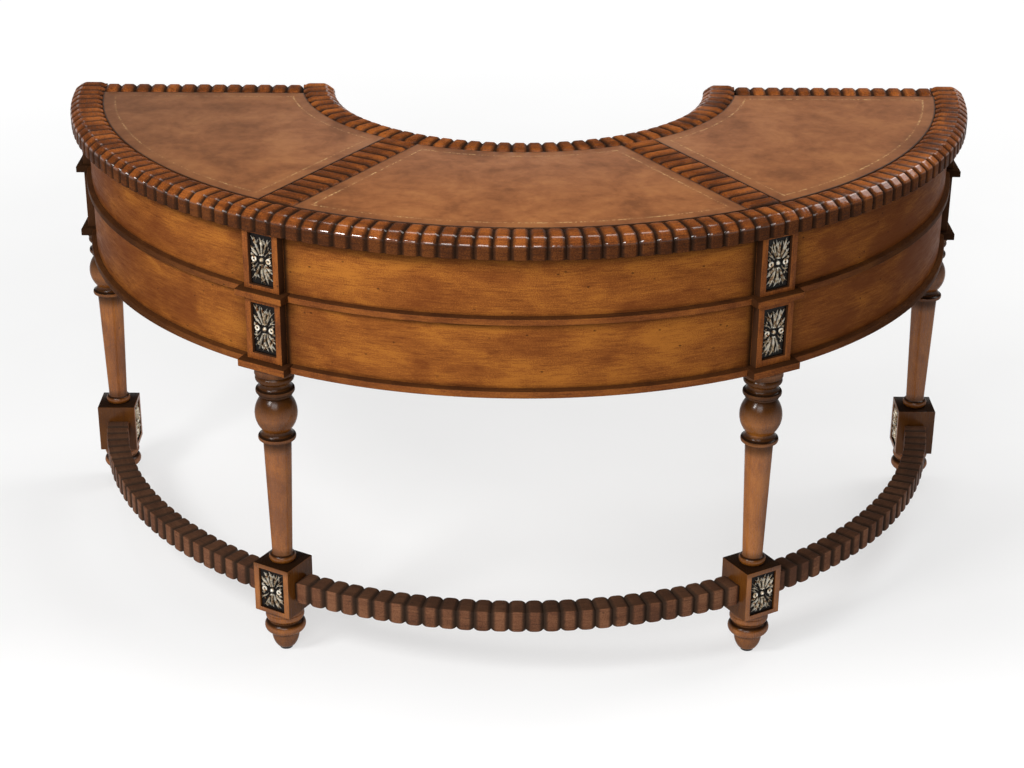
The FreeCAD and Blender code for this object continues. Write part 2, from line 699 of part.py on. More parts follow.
def box_boards(x0, x1, y_back, y_front, z0, z1):
    """Two sides and the back of a drawer box, and its bottom set in above their lower edge."""
    inner0 = x0 + DRAWER_SIDE
    inner1 = x1 - DRAWER_SIDE
    floor = z0 + BOTTOM_GROOVE
    left = block(x0, inner0, y_back, y_front, z0, z1)
    right = block(inner1, x1, y_back, y_front, z0, z1)
    back = block(inner0, inner1, y_back, y_back + DRAWER_SIDE, floor + DRAWER_BOTTOM, z1)
    bottom = block(inner0, inner1, y_back, y_front, floor, floor + DRAWER_BOTTOM)
    return [left, right, back], bottom


def runners(x0, x1, y_back, y_front, foot, box_bottom):
    """Stepped runners under the two sides of a drawer box."""
    seat = box_bottom - RUNNER_GAP
    pair = []
    for edge, way in ((x0, -1), (x1, 1)):
        inner = edge - way * (RUNNER_WIDTH - RUNNER_LIP)
        lip = edge + way * RUNNER_GAP
        outer = lip + way * RUNNER_LIP
        base = block(min(inner, outer), max(inner, outer), y_back, y_front, foot, seat)
        rail = block(min(lip, outer), max(lip, outer), y_back, y_front, seat, seat + RUNNER_LIP_HEIGHT)
        pair.append(base.fuse(rail).removeSplitter())
    return pair


def end_drawer(side):
    """Flat-fronted drawer in one end of the desk."""
    half = END_OPENING_HALF
    low = END_OPENING_LOW + DRAWER_GAP
    high = END_OPENING_HIGH - DRAWER_GAP
    middle = side * END_MIDDLE
    knob_z = (low + high) / 2
    front = mirrored(side, END_MIDDLE - half + DRAWER_GAP, END_MIDDLE + half - DRAWER_GAP,
                     END_FACE - DRAWER_FRONT, END_FACE, low, high)
    front = front.cut(knob_hole(middle, END_FACE, knob_z))
    y_front = END_FACE - DRAWER_FRONT
    corner = END_MIDDLE + half - END_BOX_MARGIN + RUNNER_GAP + RUNNER_LIP + END_BACK_ROOM
    y_back = ARC_Y - math.sqrt(APRON_INNER ** 2 - corner ** 2)
    x0 = middle - half + END_BOX_MARGIN
    x1 = middle + half - END_BOX_MARGIN
    boards, bottom = box_boards(x0, x1, y_back, y_front, low, high - DRAWER_SIDE_DROP)
    rails = runners(x0, x1, y_back, END_FRONT, BOTTOM_TOP, low)
    return front, Part.makeCompound(boards), bottom, knob(middle, END_FACE, knob_z), rails


def centre_drawer():
    """Drawer with a hollow curved front, between the partitions."""
    low = DUST_TOP + DRAWER_GAP
    high = EDGE_BOTTOM - DRAWER_GAP
    angle = math.radians(POST_ANGLE)
    half = PANEL_RADIUS * math.sin(angle) - PARTITION / 2 * math.cos(angle) - DRAWER_GAP
    back_radius = PANEL_RADIUS + DRAWER_FRONT
    face = ARC_Y - PANEL_RADIUS
    knob_z = (low + high) / 2
    curve = ring(PANEL_RADIUS, back_radius, low, high)
    front = curve.common(block(-half, half, -FAR, ARC_Y - PANEL_RADIUS / 2, low, high))
    front = front.cut(knob_hole(0, face, knob_z))
    x1 = half - CENTRE_BOX_MARGIN
    y_back = ARC_Y - math.sqrt(APRON_INNER ** 2 - x1 ** 2) + CENTRE_BACK_ROOM
    box_bottom = DUST_TOP + CENTRE_BOX_LIFT
    boards, bottom = box_boards(-x1, x1, y_back, ARC_Y, box_bottom, high - DRAWER_SIDE_DROP)
    hollow = Part.makeCylinder(back_radius + GLUE_LINE, TOP_HEIGHT, V(0, ARC_Y, 0))
    boards = [board.cut(hollow) for board in boards]
    bottom = bottom.cut(hollow)
    rails = [rail.cut(hollow) for rail in runners(-x1, x1, y_back, ARC_Y, DUST_TOP, box_bottom)]
    return front, Part.makeCompound(boards), bottom, knob(0, face, knob_z), rails


def build():
    nodes = {"top_board": top_board()}
    for name, shape in zip(("left", "centre", "right"), leather_panels()):
        nodes["leather_" + name] = shape
    bays = {
        "left": (top_end_at(-1), middle_of(-1), -1),
        "centre": (middle_of(-1), middle_of(1), 0),
        "right": (middle_of(1), top_end_at(1), 1),
    }
    for name, (start, end, rounded) in bays.items():
        nodes["outer_edge_" + name] = arc_edge(start, end, LEATHER_OUTER, 1, rounded)
        nodes["kneehole_edge_" + name] = arc_edge(start, end, LEATHER_INNER, -1, rounded)
    for side, name in ((-1, "left"), (1, "right")):
        place = FRONT_LEFT if side < 0 else FRONT_RIGHT
        nodes["end_edge_" + name] = end_edge(side)
        nodes["divider_strip_" + name] = divider(place)
        nodes["partition_" + name] = partition(place)
        nodes["end_frame_" + name] = end_frame(side)
    for name, shape in zip(("left", "centre", "right"), aprons()):
        nodes["apron_" + name] = shape
    nodes["mid_mouldings"] = moulding(MID_MOULDING_BOTTOM, MID_MOULDING_FILLET)
    nodes["base_mouldings"] = moulding(APRON_BOTTOM, BASE_MOULDING_FILLET)
    for place in PLACES:
        nodes["post_" + place.name] = post(place)
        nodes["leg_" + place.name] = leg(place)
    nodes["post_frames"] = post_frames()
    nodes["post_ledges"] = post_ledges()
    nodes["post_plaques"] = post_plaques()
    nodes["block_plaques"] = block_plaques()
    nodes["leg_glides"] = leg_glides()
    nodes["leg_bolts"] = leg_bolts()
    nodes["stretcher_left"] = stretcher(BACK_LEFT, FRONT_LEFT)
    nodes["stretcher_centre"] = stretcher(FRONT_LEFT, FRONT_RIGHT)
    nodes["stretcher_right"] = stretcher(FRONT_RIGHT, BACK_RIGHT)
    nodes["kneehole_panel_left"], nodes["kneehole_panel_right"] = kneehole_panels()
    nodes["bottom_board_left"], nodes["bottom_board_right"] = bottom_boards()
    nodes["dust_board"] = dust_board()
    rails = []
    drawers = {"left": end_drawer(-1), "centre": centre_drawer(), "right": end_drawer(1)}
    for name, (front, boards, bottom, pull, pair) in drawers.items():
        nodes["drawer_%s_front" % name] = front
        nodes["drawer_%s_box" % name] = boards
        nodes["drawer_%s_bottom" % name] = bottom
        nodes["drawer_%s_knob" % name] = pull
        rails += pair
    nodes["drawer_runners"] = Part.makeCompound(rails)
    return nodes


os.makedirs("parts", exist_ok=True)
for node, shape in build().items():
    shape.exportStep("parts/" + node + ".step")
    print(node, len(shape.Solids), "solids", round(shape.Volume / 1000.0, 1), "cm3", shape.isValid())
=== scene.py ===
"""Demilune writing desk: carved, turned and leather-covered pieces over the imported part."""
import math
import random

import bmesh
import bpy
from mathutils import Matrix, Vector


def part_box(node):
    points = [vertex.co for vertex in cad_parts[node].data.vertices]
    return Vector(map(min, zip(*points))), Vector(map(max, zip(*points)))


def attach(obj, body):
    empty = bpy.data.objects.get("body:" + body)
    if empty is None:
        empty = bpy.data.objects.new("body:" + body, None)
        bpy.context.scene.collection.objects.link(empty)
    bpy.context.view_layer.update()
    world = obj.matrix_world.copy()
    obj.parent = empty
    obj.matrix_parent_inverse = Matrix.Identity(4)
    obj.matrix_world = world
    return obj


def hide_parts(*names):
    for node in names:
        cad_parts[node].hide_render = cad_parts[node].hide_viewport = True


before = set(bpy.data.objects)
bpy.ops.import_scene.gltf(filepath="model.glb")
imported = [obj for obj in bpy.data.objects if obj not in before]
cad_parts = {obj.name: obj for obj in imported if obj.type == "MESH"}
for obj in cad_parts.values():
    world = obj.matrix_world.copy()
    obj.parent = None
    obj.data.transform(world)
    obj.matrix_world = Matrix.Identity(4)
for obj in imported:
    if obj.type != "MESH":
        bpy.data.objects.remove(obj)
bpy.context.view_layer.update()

# Sizes in metres, as in the part: the top and its edges
ARC_Y = 0.398
TOP = 0.775
TOP_RADIUS = 0.786
KNEEHOLE_RADIUS = 0.326
END_SETBACK = 0.010
TOP_END = ARC_Y - END_SETBACK
GLUE_LINE = 0.0002
EDGE_WIDTH = 0.056
EDGE_THICKNESS = 0.034
EDGE_BOTTOM = TOP - EDGE_THICKNESS
BEVEL_WIDTH = 0.014
BEVEL_DROP = 0.010
EDGE_FALL = 0.008
EDGE_FRONT = TOP - BEVEL_DROP - 0.001
CORNER_ROUND = 0.016
LEATHER_SINK = 0.0032
LEATHER_THICKNESS = 0.0015
LEATHER_TOP = TOP - LEATHER_SINK
LEATHER_LOW = LEATHER_TOP - LEATHER_THICKNESS
LEATHER_OUTER = TOP_RADIUS - EDGE_WIDTH
LEATHER_INNER = KNEEHOLE_RADIUS + EDGE_WIDTH
LEATHER_END = TOP_END - EDGE_WIDTH
GILT_INSET = 0.0215
DIVIDER_WIDTH = 0.062
DIVIDER_THICKNESS = 0.011
DIVIDER_SLOPE = 0.005

# Carved lobes: their number, shape, glazing, painted shade and polish
OUTER_LOBES = (30, 31, 30)
KNEEHOLE_LOBES = (14, 15, 14)
STRETCHER_LOBES = (25, 27, 25)
STRAIGHT_LOBES = 13
LOBE_CUTS = 14
LOBE_DEPTH = 0.0040
LOBE_CREST = 4 / 7
LOBE_ROUND = 0.35
LOBE_WEAR = (0.0002, 0.0005)
LOBE_SKIN = 0.0002
LOBE_SHARP = 24
EDGE_TIP = 0.0125
TIP_ROUND = 0.4
TIP_SINK = 0.0003
# Glazing with painted shade on the lobes' flanks, valleys and fronts
FLANK_GLAZE_AND_SHADE = 0.80
TOP_FLANK_GLAZE_AND_SHADE = 0.50
VALLEY_GLAZE_AND_SHADE = 0.94
FRONT_GLAZE_AND_SHADE = 0.57
# Painted shade: the stretcher's top lies in the shadow of the desk's top
STRETCHER_TOP_SHADE = 0.62
CAP_GLAZE = 0.35
CAP_DEPTH = 0.0005
RIDGE_POLISH = 0.72
POLISH_REACH = 0.0032
WIDE_POLISH = 0.0050
WIDE_POLISH_SHARE = 0.6
OVER_DESK = 1.0

# Apron, mouldings, posts and plaques
APRON_RADIUS = 0.758
APRON_INNER = 0.740
APRON_BOTTOM = 0.5115
MID_BOTTOM = 0.6305
MID_TOP = 0.6430
BASE_TOP = 0.5250
MOULDING_REACH = 0.009
MOULDING_OUTER = APRON_RADIUS + MOULDING_REACH
MOULDING_SLOPE = 0.0022
POST_ANGLE = math.radians(30.6)
POST_HALF = 0.033
POST_DEPTH = 0.041
LEG_RADIUS = 0.749
POST_FACE = math.sqrt(APRON_RADIUS ** 2 - POST_HALF ** 2) - LEG_RADIUS
POST_BACK = POST_FACE - POST_DEPTH
FRAME_DEPTH = 0.015
FRAME_FACE = POST_FACE + FRAME_DEPTH
FRAME_BORDER = 0.0105
FRAME_RECESS = 0.0115
FRAME_RANGES = ((BASE_TOP, MID_BOTTOM), (MID_TOP, EDGE_BOTTOM))
FRAME_OPENING = MID_BOTTOM - BASE_TOP - 2 * FRAME_BORDER
LEDGE_REACH = 0.0115
LEDGE_FACE = FRAME_FACE + LEDGE_REACH
LEDGE_HALF = 0.044
LEDGE_SLOPE = 0.0018
RECESS_SLOPE = 0.0003
RECESS_GLAZE_AND_SHADE = 0.88
BACK_FRAME_GLAZE = 0.35
BACK_LEDGE_GLAZE = 0.92
PLAQUE_GAP = 0.0003
PLAQUE_GROUND = 0.0028
POST_PLAQUE_SINK = 0.0050
BLOCK_PLAQUE_SINK = 0.0036
RIB_LEANS = (5, 17, 29, 41, 53, 66)
RIB_MARGIN = 0.0022
VOLUTE_LIFT = 0.0022

# Legs, stretcher, kneehole panels and drawer fronts
BACK_POST_GAP = 0.002
BACK_LEG_Y = TOP_END - BACK_POST_GAP - POST_HALF
BACK_LEG_X = math.sqrt(LEG_RADIUS ** 2 - (ARC_Y - BACK_LEG_Y) ** 2)
BLOCK_HALF = 0.034
BLOCK_BOTTOM = 0.0775
BLOCK_TOP = 0.165
BLOCK_MIDDLE = (BLOCK_BOTTOM + BLOCK_TOP) / 2
BLOCK_PANEL = (0.048, 0.072)
BLOCK_RECESS = 0.006
BALL_LOW = 0.402
BALL_HIGH = 0.458
BALL_POLISH = 0.42
STRETCHER_HALF = 0.020
STRETCHER_TALL = 0.0185
STRETCHER_LOBE_DEPTH = 0.0036
STRETCHER_LOBE_ROUND = 0.75
PANEL_RADIUS = 0.352
PANEL_BACK = 0.364
PARTITION_HALF = 0.009
END_OVERHANG = 0.028
END_FACE = TOP_END - END_OVERHANG
END_FRAME_THICKNESS = 0.018
DRAWER_FRONT = 0.018
LINE_INSET = 0.009
LINE_WIDTH = 0.0010
LINE_DEPTH = 0.0014
LINE_SHARP = 20

# Rounded edges, steps along the curves and the smallest gap that counts
HIDE_ROUND = 0.0009
BOARD_ROUND = 0.0010
LEDGE_ROUND = 0.0008
STRETCHER_ROUND = 0.0014
ARRIS = 0.0006
FRAME_ARRIS = 0.0007
BLOCK_ARRIS = 0.0009
GROUND_ARRIS = 0.0003
SHARP_EDGE = math.radians(30)
HIDE_STEPS = 72
APRON_STEPS = 240
MOULDING_STEPS = 120
PANEL_STEPS = 60
FRONT_STEPS = 24
TINY = 1e-6


def polar(radius, angle, z):
    """Point round the arc's centre; angle 0 is the middle of the front."""
    return Vector((radius * math.sin(angle), ARC_Y - radius * math.cos(angle), z))


def stand(angle, x, y):
    """A post's own frame: x outwards, y along the apron, z up."""
    turn = math.atan2(-math.cos(angle), math.sin(angle))
    return Matrix.Translation((x, y, 0)) @ Matrix.Rotation(turn, 4, "Z")


def front_stand(side):
    """A front post's frame, on the circle of the legs."""
    axis = polar(LEG_RADIUS, side * POST_ANGLE, 0)
    return stand(side * POST_ANGLE, axis.x, axis.y)


STANDS = {
    "front_left": front_stand(-1),
    "front_right": front_stand(1),
    "back_left": stand(-math.pi / 2, -BACK_LEG_X, BACK_LEG_Y),
    "back_right": stand(math.pi / 2, BACK_LEG_X, BACK_LEG_Y),
}
REAR = {"front_left": 0, "front_right": 0, "back_left": -1, "back_right": 1}


# Finishes

def tint(red, green, blue):
    """Paint colour from 0 to 255 as the eye sees it."""
    mixed = []
    for part in (red, green, blue):
        share = part / 255
        mixed.append(share / 12.92 if share < 0.04045 else ((share + 0.055) / 1.055) ** 2.4)
    return (*mixed, 1.0)


class Nodes:
    """Short ways to lay nodes in a tree."""

    def __init__(self, tree):
        self.tree = tree

    def feed(self, socket, value):
        """Links a socket to another one, or gives it a value."""
        if isinstance(value, bpy.types.NodeSocket):
            self.tree.links.new(value, socket)
        else:
            socket.default_value = value

    def node(self, kind, *values, **named):
        """New node with its inputs in order and its named settings."""
        made = self.tree.nodes.new("ShaderNode" + kind)
        for key, value in named.items():
            setattr(made, key, value)
        for socket, value in zip(made.inputs, values):
            self.feed(socket, value)
        return made

    def math(self, operation, a, b=0.0):
        return self.node("Math", a, b, operation=operation).outputs[0]

    def stretch(self, vector, scale, shift=(0, 0, 0)):
        mapping = self.node("Mapping", vector)
        self.feed(mapping.inputs["Scale"], scale)
        self.feed(mapping.inputs["Location"], shift)
        return mapping.outputs[0]

    def noise(self, vector, scale, detail=2.0, roughness=0.5, twist=0.0):
        made = self.node("TexNoise")
        wanted = (vector, scale, detail, roughness, twist)
        for name, value in zip(("Vector", "Scale", "Detail", "Roughness", "Distortion"), wanted):
            self.feed(made.inputs[name], value)
        return made.outputs["Fac"]

    def blend(self, *shares):
        """Weighted sum of several patterns."""
        total = None
        for value, weight in shares:
            part = self.math("MULTIPLY", value, weight)
            total = part if total is None else self.math("ADD", total, part)
        return total

    def ramp(self, value, *stops):
        made = self.node("ValToRGB", value)
        while len(made.color_ramp.elements) < len(stops):
            made.color_ramp.elements.new(0.5)
        for element, (spot, colour) in zip(made.color_ramp.elements, stops):
            element.position = spot
            element.color = colour
        return made.outputs[0]

    def fade(self, value, low, high, low_out=0.0, high_out=1.0):
        """Soft step from one level to another."""
        made = self.node("MapRange", value, low, high, low_out, high_out, interpolation_type="SMOOTHSTEP")
        return made.outputs[0]

    def mix(self, share, a, b):
        made = self.node("Mix", data_type="RGBA")
        self.feed(made.inputs["Factor"], share)
        for name, value in (("A", a), ("B", b)):
            self.feed([s for s in made.inputs if s.name == name and s.type == "RGBA"][0], value)
        return [s for s in made.outputs if s.type == "RGBA"][0]

    def split(self, vector):
        return self.node("SeparateXYZ", vector).outputs

    def stored(self, name):
        """Share that the mesh stores at its vertices."""
        return self.node("Attribute", attribute_name=name).outputs["Fac"]

    def seen(self):
        """1 where the eye looks, straight or by reflection, and 0 for rays that only bring light."""
        rays = self.node("LightPath").outputs
        either = self.math("MAXIMUM", rays["Is Camera Ray"], rays["Is Glossy Ray"])
        return self.math("MAXIMUM", either, rays["Is Transmission Ray"])


class Finish(Nodes):
    """One material made of nodes."""

    def __init__(self, name):
        self.material = bpy.data.materials.new(name)
        self.material.use_nodes = True
        super().__init__(self.material.node_tree)
        self.shader = self.tree.nodes["Principled BSDF"]
        self.place = self.node("TexCoord").outputs["Object"]

    def bump(self, height, strength, distance):
        made = self.node("Bump")
        self.feed(made.inputs["Height"], height)
        made.inputs["Strength"].default_value = strength
        made.inputs["Distance"].default_value = distance
        self.feed(self.shader.inputs["Normal"], made.outputs[0])

    def set(self, **values):
        """Feeds the shader's inputs by their names."""
        for name, value in values.items():
            self.feed(self.shader.inputs[name.replace("_", " ").title().replace("Ior", "IOR")], value)

    def round_arc(self):
        """Object coordinates unrolled round the arc's centre: along the arc, radius, height."""
        x, y, z = self.split(self.place)
        depth = self.math("SUBTRACT", ARC_Y, y)
        angle = self.math("ARCTAN2", x, depth)
        squares = self.math("ADD", self.math("MULTIPLY", x, x), self.math("MULTIPLY", depth, depth))
        radius = self.math("SQRT", squares)
        return self.node("CombineXYZ", self.math("MULTIPLY", angle, LEG_RADIUS), radius, z).outputs[0], radius


class Wood(Finish):
    """Stained and lacquered wood; dark glazing and painted shade lie where the mesh stores them and round the
    heights in bands.
    """

    def __init__(self, name, pale, middle, deep, grain, rough=0.4, shine=0.15, specks=0.05,
                 glaze_and_shade=(36, 24, 15), bands=(), mottle=0.42, pores=0.16):
        super().__init__(name)
        stain_and_shade = tint(*glaze_and_shade)
        flow = self.round_arc()[0] if grain == "arc" else self.place
        along = {"arc": 0, "x": 0, "y": 1, "z": 2}[grain]
        fine = [420.0, 420.0, 420.0]
        fine[along] = 36.0
        broad = [20.0, 20.0, 20.0]
        broad[along] = 10.0
        lines = self.noise(self.stretch(flow, fine), 1.0, 4.0, 0.6, 0.3)
        clouds = self.noise(self.stretch(flow, broad, (0.3, 0.1, 0.7)), 1.0, 4.0, 0.55, 0.5)
        grit = self.noise(flow, 640.0, 2.0, 0.6)
        rest = 1 - mottle
        tone = self.blend((clouds, mottle), (lines, 0.38 * rest), (grit, 0.62 * rest),
                          (self.stored("tone"), 0.04))
        colour = self.ramp(tone, (0.41, tint(*deep)), (0.50, tint(*middle)), (0.59, tint(*pale)))
        colour = self.mix(self.fade(lines, 0.32, 0.43, pores, 0.0), colour, stain_and_shade)
        if specks:
            colour = self.mix(self.specks(flow, specks), colour, stain_and_shade)
        dark = self.glaze_and_shade(bands, clouds)
        # Dark glazing and painted shade mixed into the colour
        self.set(base_color=self.mix(dark, colour, stain_and_shade))
        self.set(roughness=self.fade(lines, 0.3, 0.7, rough + 0.06, rough - 0.06))
        self.lacquer(shine, dark)
        self.bump(lines, 0.10, 0.0005)

    def specks(self, flow, share):
        """Dots in a share of scattered cells."""
        cells = self.node("TexVoronoi", self.stretch(flow, (18, 30, 30)))
        near = self.fade(cells.outputs["Distance"], 0.08, 0.30, 0.72, 0.0)
        chosen = self.fade(self.split(cells.outputs["Color"])[0], 1 - share, 1.01 - share)
        return self.math("MULTIPLY", near, chosen)

    def glaze_and_shade(self, bands, clouds):
        """Share of glazing and painted shade; each band is a height, a spread and a strength, and wanders a
        little.
        """
        dark = self.stored("glaze_and_shade")
        if not bands:
            return dark
        wander = self.math("MULTIPLY", self.math("SUBTRACT", clouds, 0.5), 0.012)
        height = self.math("ADD", self.split(self.place)[2], wander)
        for level, spread, strength in bands:
            away = self.math("ABSOLUTE", self.math("SUBTRACT", height, level))
            dark = self.math("MAXIMUM", dark, self.fade(away, 0.0, spread, strength, 0.0))
        return dark

    def lacquer(self, shine, dark):
        """Gloss, weaker at low angles and under glazing and painted shade, and a clear coat where polish is
        stored.
        """
        facing = self.node("LayerWeight").outputs["Facing"]
        gloss = self.fade(facing, 0.22, 0.62, shine, 0.15 * shine)
        gloss = self.math("MULTIPLY", gloss, self.fade(dark, 0.0, 1.0, 1.0, 0.25))
        self.set(specular_ior_level=gloss)
        self.set(coat_weight=self.stored("polish"), coat_ior=1.9, coat_roughness=0.12)


def from_border(hide, x, y):
    """Distance in from the nearest border of a leather panel."""
    radius = hide.round_arc()[1]
    depth = hide.math("SUBTRACT", ARC_Y, y)
    lean = hide.math("MULTIPLY", hide.math("ABSOLUTE", x), math.cos(POST_ANGLE))
    fall = hide.math("MULTIPLY", depth, math.sin(POST_ANGLE))
    across = hide.math("ABSOLUTE", hide.math("SUBTRACT", lean, fall))
    nearest = hide.math("SUBTRACT", LEATHER_OUTER, radius)
    for far, near in ((radius, LEATHER_INNER), (across, DIVIDER_WIDTH / 2), (LEATHER_END, y)):
        nearest = hide.math("MINIMUM", nearest, hide.math("SUBTRACT", far, near))
    return nearest


def gilt_line(hide, x, border):
    """Share of a thin worn line of gold leaf, fainter towards the left end."""
    off = hide.math("ABSOLUTE", hide.math("SUBTRACT", border, GILT_INSET))
    wear = hide.noise(hide.place, 34.0, 3.0, 0.7)
    stitch = hide.noise(hide.place, 300.0, 1.0, 0.5)
    gilt = hide.fade(off, 0.0010, 0.0020, 1.0, 0.0)
    gilt = hide.math("MULTIPLY", gilt, hide.fade(wear, 0.36, 0.62, 0.1, 0.55))
    gilt = hide.math("MULTIPLY", gilt, hide.fade(stitch, 0.46, 0.56))
    return hide.math("MULTIPLY", gilt, hide.fade(x, -0.60, -0.25, 0.5, 1.0))


def leather(name):
    """Mottled brown hide, deeper at its borders and towards the ends, with a gilt line in each panel."""
    hide = Finish(name)
    x, y, _ = hide.split(hide.place)
    border = from_border(hide, x, y)
    clouds = hide.noise(hide.place, 11.0, 4.0, 0.6, 0.6)
    smoke = hide.noise(hide.stretch(hide.place, (1, 1, 1), (3, 1, 0)), 60.0, 4.0, 0.65, 0.4)
    pores = hide.node("TexVoronoi", hide.stretch(hide.place, (160, 160, 160))).outputs["Distance"]
    tone = hide.blend((clouds, 0.68), (smoke, 0.32))
    colour = hide.ramp(tone, (0.36, tint(112, 66, 34)), (0.50, tint(138, 84, 46)), (0.64, tint(156, 100, 56)))
    colour = hide.mix(hide.fade(x, -0.70, -0.15, 0.34, 0.0), colour, tint(74, 58, 46))
    colour = hide.mix(hide.fade(x, 0.15, 0.60, 0.0, 0.12), colour, tint(90, 62, 44))
    colour = hide.mix(hide.fade(border, 0.0, 0.040, 0.30, 0.0), colour, tint(84, 50, 28))
    # Painted shade: a dark line along each border, beside the raised edges
    colour = hide.mix(hide.fade(border, 0.0010, 0.0036, 0.85, 0.0), colour, tint(30, 18, 12))
    gilt = gilt_line(hide, x, border)
    colour = hide.mix(gilt, colour, tint(222, 184, 126))
    hide.set(base_color=colour, specular_ior_level=0.12)
    hide.set(roughness=hide.fade(tone, 0.3, 0.7, 0.46, 0.36))
    height = hide.blend((pores, 0.5), (smoke, 0.9), (gilt, -1.0))
    hide.bump(height, 0.12, 0.0006)
    return hide


def cast_metal(name):
    """Rubbed silver-brass relief over a blackened ground."""
    finish = Finish(name)
    patches = finish.noise(finish.place, 190.0, 3.0, 0.6)
    colour = finish.ramp(patches, (0.36, tint(128, 78, 44)), (0.45, tint(214, 191, 154)),
                         (0.54, tint(248, 241, 226)))
    dark = finish.stored("glaze_and_shade")
    finish.set(base_color=finish.mix(dark, colour, tint(16, 11, 8)), specular_ior_level=0.1)
    finish.set(metallic=finish.fade(dark, 0.2, 0.8, 0.35, 0.0))
    finish.set(roughness=finish.fade(patches, 0.3, 0.7, 0.40, 0.26))
    finish.bump(patches, 0.12, 0.0006)
    return finish


def plain_metal(name, pale, deep, rough):
    """Bare metal, a little uneven in colour and gloss."""
    finish = Finish(name)
    patches = finish.noise(finish.place, 90.0, 4.0, 0.6)
    finish.set(base_color=finish.ramp(patches, (0.3, tint(*deep)), (0.7, tint(*pale))), metallic=1.0)
    finish.set(roughness=finish.fade(patches, 0.3, 0.7, rough + 0.08, rough - 0.05))
    finish.bump(patches, 0.05, 0.0004)
    return finish


def nylon(name):
    """Dark moulded plastic with a fine grain."""
    finish = Finish(name)
    grain = finish.noise(finish.place, 900.0, 2.0)
    finish.set(base_color=finish.ramp(grain, (0.3, tint(14, 13, 13)), (0.7, tint(26, 25, 24))), roughness=0.5)
    finish.bump(grain, 0.1, 0.0003)
    return finish


# Glazing and painted shade round given heights: painted shade under the top's overhang and along the
# mouldings
APRON_GLAZE_AND_SHADE_BANDS = (
    (EDGE_BOTTOM, 0.026, 0.65), (MID_TOP, 0.004, 0.35), (MID_BOTTOM, 0.012, 0.35),
    (MID_BOTTOM - 0.0015, 0.0035, 0.70), (BASE_TOP, 0.006, 0.40),
)
# Glazing and painted shade round given heights of the legs: in the necks, under the desk, on the ball and at
# the foot
LEG_GLAZE_AND_SHADE_BANDS = (
    (0.4940, 0.030, 0.82), (0.4965, 0.003, 0.92), (0.4780, 0.018, 0.92), (0.4600, 0.056, 0.90),
    (0.4150, 0.024, 0.42), (0.3960, 0.014, 0.90), (0.3780, 0.022, 0.75), (0.1790, 0.016, 0.6),
    (BLOCK_TOP, 0.012, 0.5), (0.0560, 0.006, 0.7), (0.0320, 0.006, 0.5), (0.0180, 0.030, 0.35),
)
HONEY = ((172, 106, 42), (142, 82, 35), (116, 62, 27))
APRON_WOOD = Wood("honey_cherry", *HONEY, "arc", shine=0.03, bands=APRON_GLAZE_AND_SHADE_BANDS)
CURVED_VENEER = Wood("honey_cherry_curved", *HONEY, "arc", shine=0.06)
FLAT_VENEER = Wood("honey_cherry_flat", *HONEY, "x", shine=0.06)
FRAME_WOOD = Wood("honey_cherry_upright", (156, 91, 40), (128, 72, 34), (98, 53, 27), "z", 0.36, 0.06,
                  glaze_and_shade=(50, 34, 24))
MOULDING_WOOD = Wood("glazed_moulding", (152, 91, 40), (126, 71, 34), (96, 52, 26), "arc", 0.36, 0.04)
CARVED_WOOD = Wood("dark_cherry_carved", (152, 86, 38), (114, 60, 26), (80, 42, 19), "arc", 0.26, 0.05,
                   glaze_and_shade=(34, 25, 19), pores=0.25)
STRETCHER_WOOD = Wood("dark_cherry_stretcher", (138, 94, 67), (115, 75, 53), (90, 58, 42), "arc", 0.34, 0.06,
                      glaze_and_shade=(48, 39, 32), pores=0.25)
TURNED_WOOD = Wood("turned_cherry", (168, 101, 37), (145, 83, 27), (118, 65, 21), "z", 0.24, 0.48,
                   glaze_and_shade=(36, 21, 11), bands=LEG_GLAZE_AND_SHADE_BANDS, mottle=0.50, pores=0.12, specks=0.02)
INNER_WOOD = Wood("inner_poplar", (176, 138, 96), (158, 120, 80), (140, 102, 66), "x", 0.6, specks=0)
DRAWER_WOOD = Wood("drawer_maple", (206, 172, 128), (190, 154, 110), (172, 134, 92), "y", 0.55, specks=0)
LEATHER = leather("brown_hide")
CAST_METAL = cast_metal("rubbed_cast_metal")
KNOB_BRASS = plain_metal("antique_brass", (186, 148, 88), (120, 84, 44), 0.32)
BOLT_STEEL = plain_metal("zinc_steel", (190, 190, 188), (150, 150, 150), 0.4)
NYLON = nylon("black_nylon")


# Mesh making

def placed(name, data):
    """New object in the scene."""
    thing = bpy.data.objects.new(name, data)
    bpy.context.scene.collection.objects.link(thing)
    return thing


def finished(name, bm, finish, replaces, body="desk", sharp=35):
    """Closes a mesh and sets it on its body in the place of CAD nodes."""
    bmesh.ops.remove_doubles(bm, verts=bm.verts[:], dist=TINY)
    bmesh.ops.recalc_face_normals(bm, faces=bm.faces[:])
    mesh = bpy.data.meshes.new(name)
    bm.to_mesh(mesh)
    bm.free()
    mesh.shade_smooth()
    mesh.set_sharp_from_angle(angle=math.radians(sharp))
    mesh.materials.append(finish.material)
    piece = placed(name, mesh)
    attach(piece, body)
    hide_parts(*replaces)


def absorb(bm, part, matrix=None):
    """Adds another mesh to this one, moved to its place."""
    if matrix is not None:
        bmesh.ops.transform(part, matrix=matrix, verts=part.verts[:])
    mesh = bpy.data.meshes.new("part")
    part.to_mesh(mesh)
    part.free()
    bm.from_mesh(mesh)
    bpy.data.meshes.remove(mesh)


def soften(bm, width, segments=2):
    """Rounds every sharp edge a little."""
    bm.normal_update()
    edges = [e for e in bm.edges if e.is_manifold and e.calc_face_angle(0) > SHARP_EDGE]
    bmesh.ops.bevel(bm, geom=edges, offset=width, segments=segments, profile=0.5, affect="EDGES", material=-1)


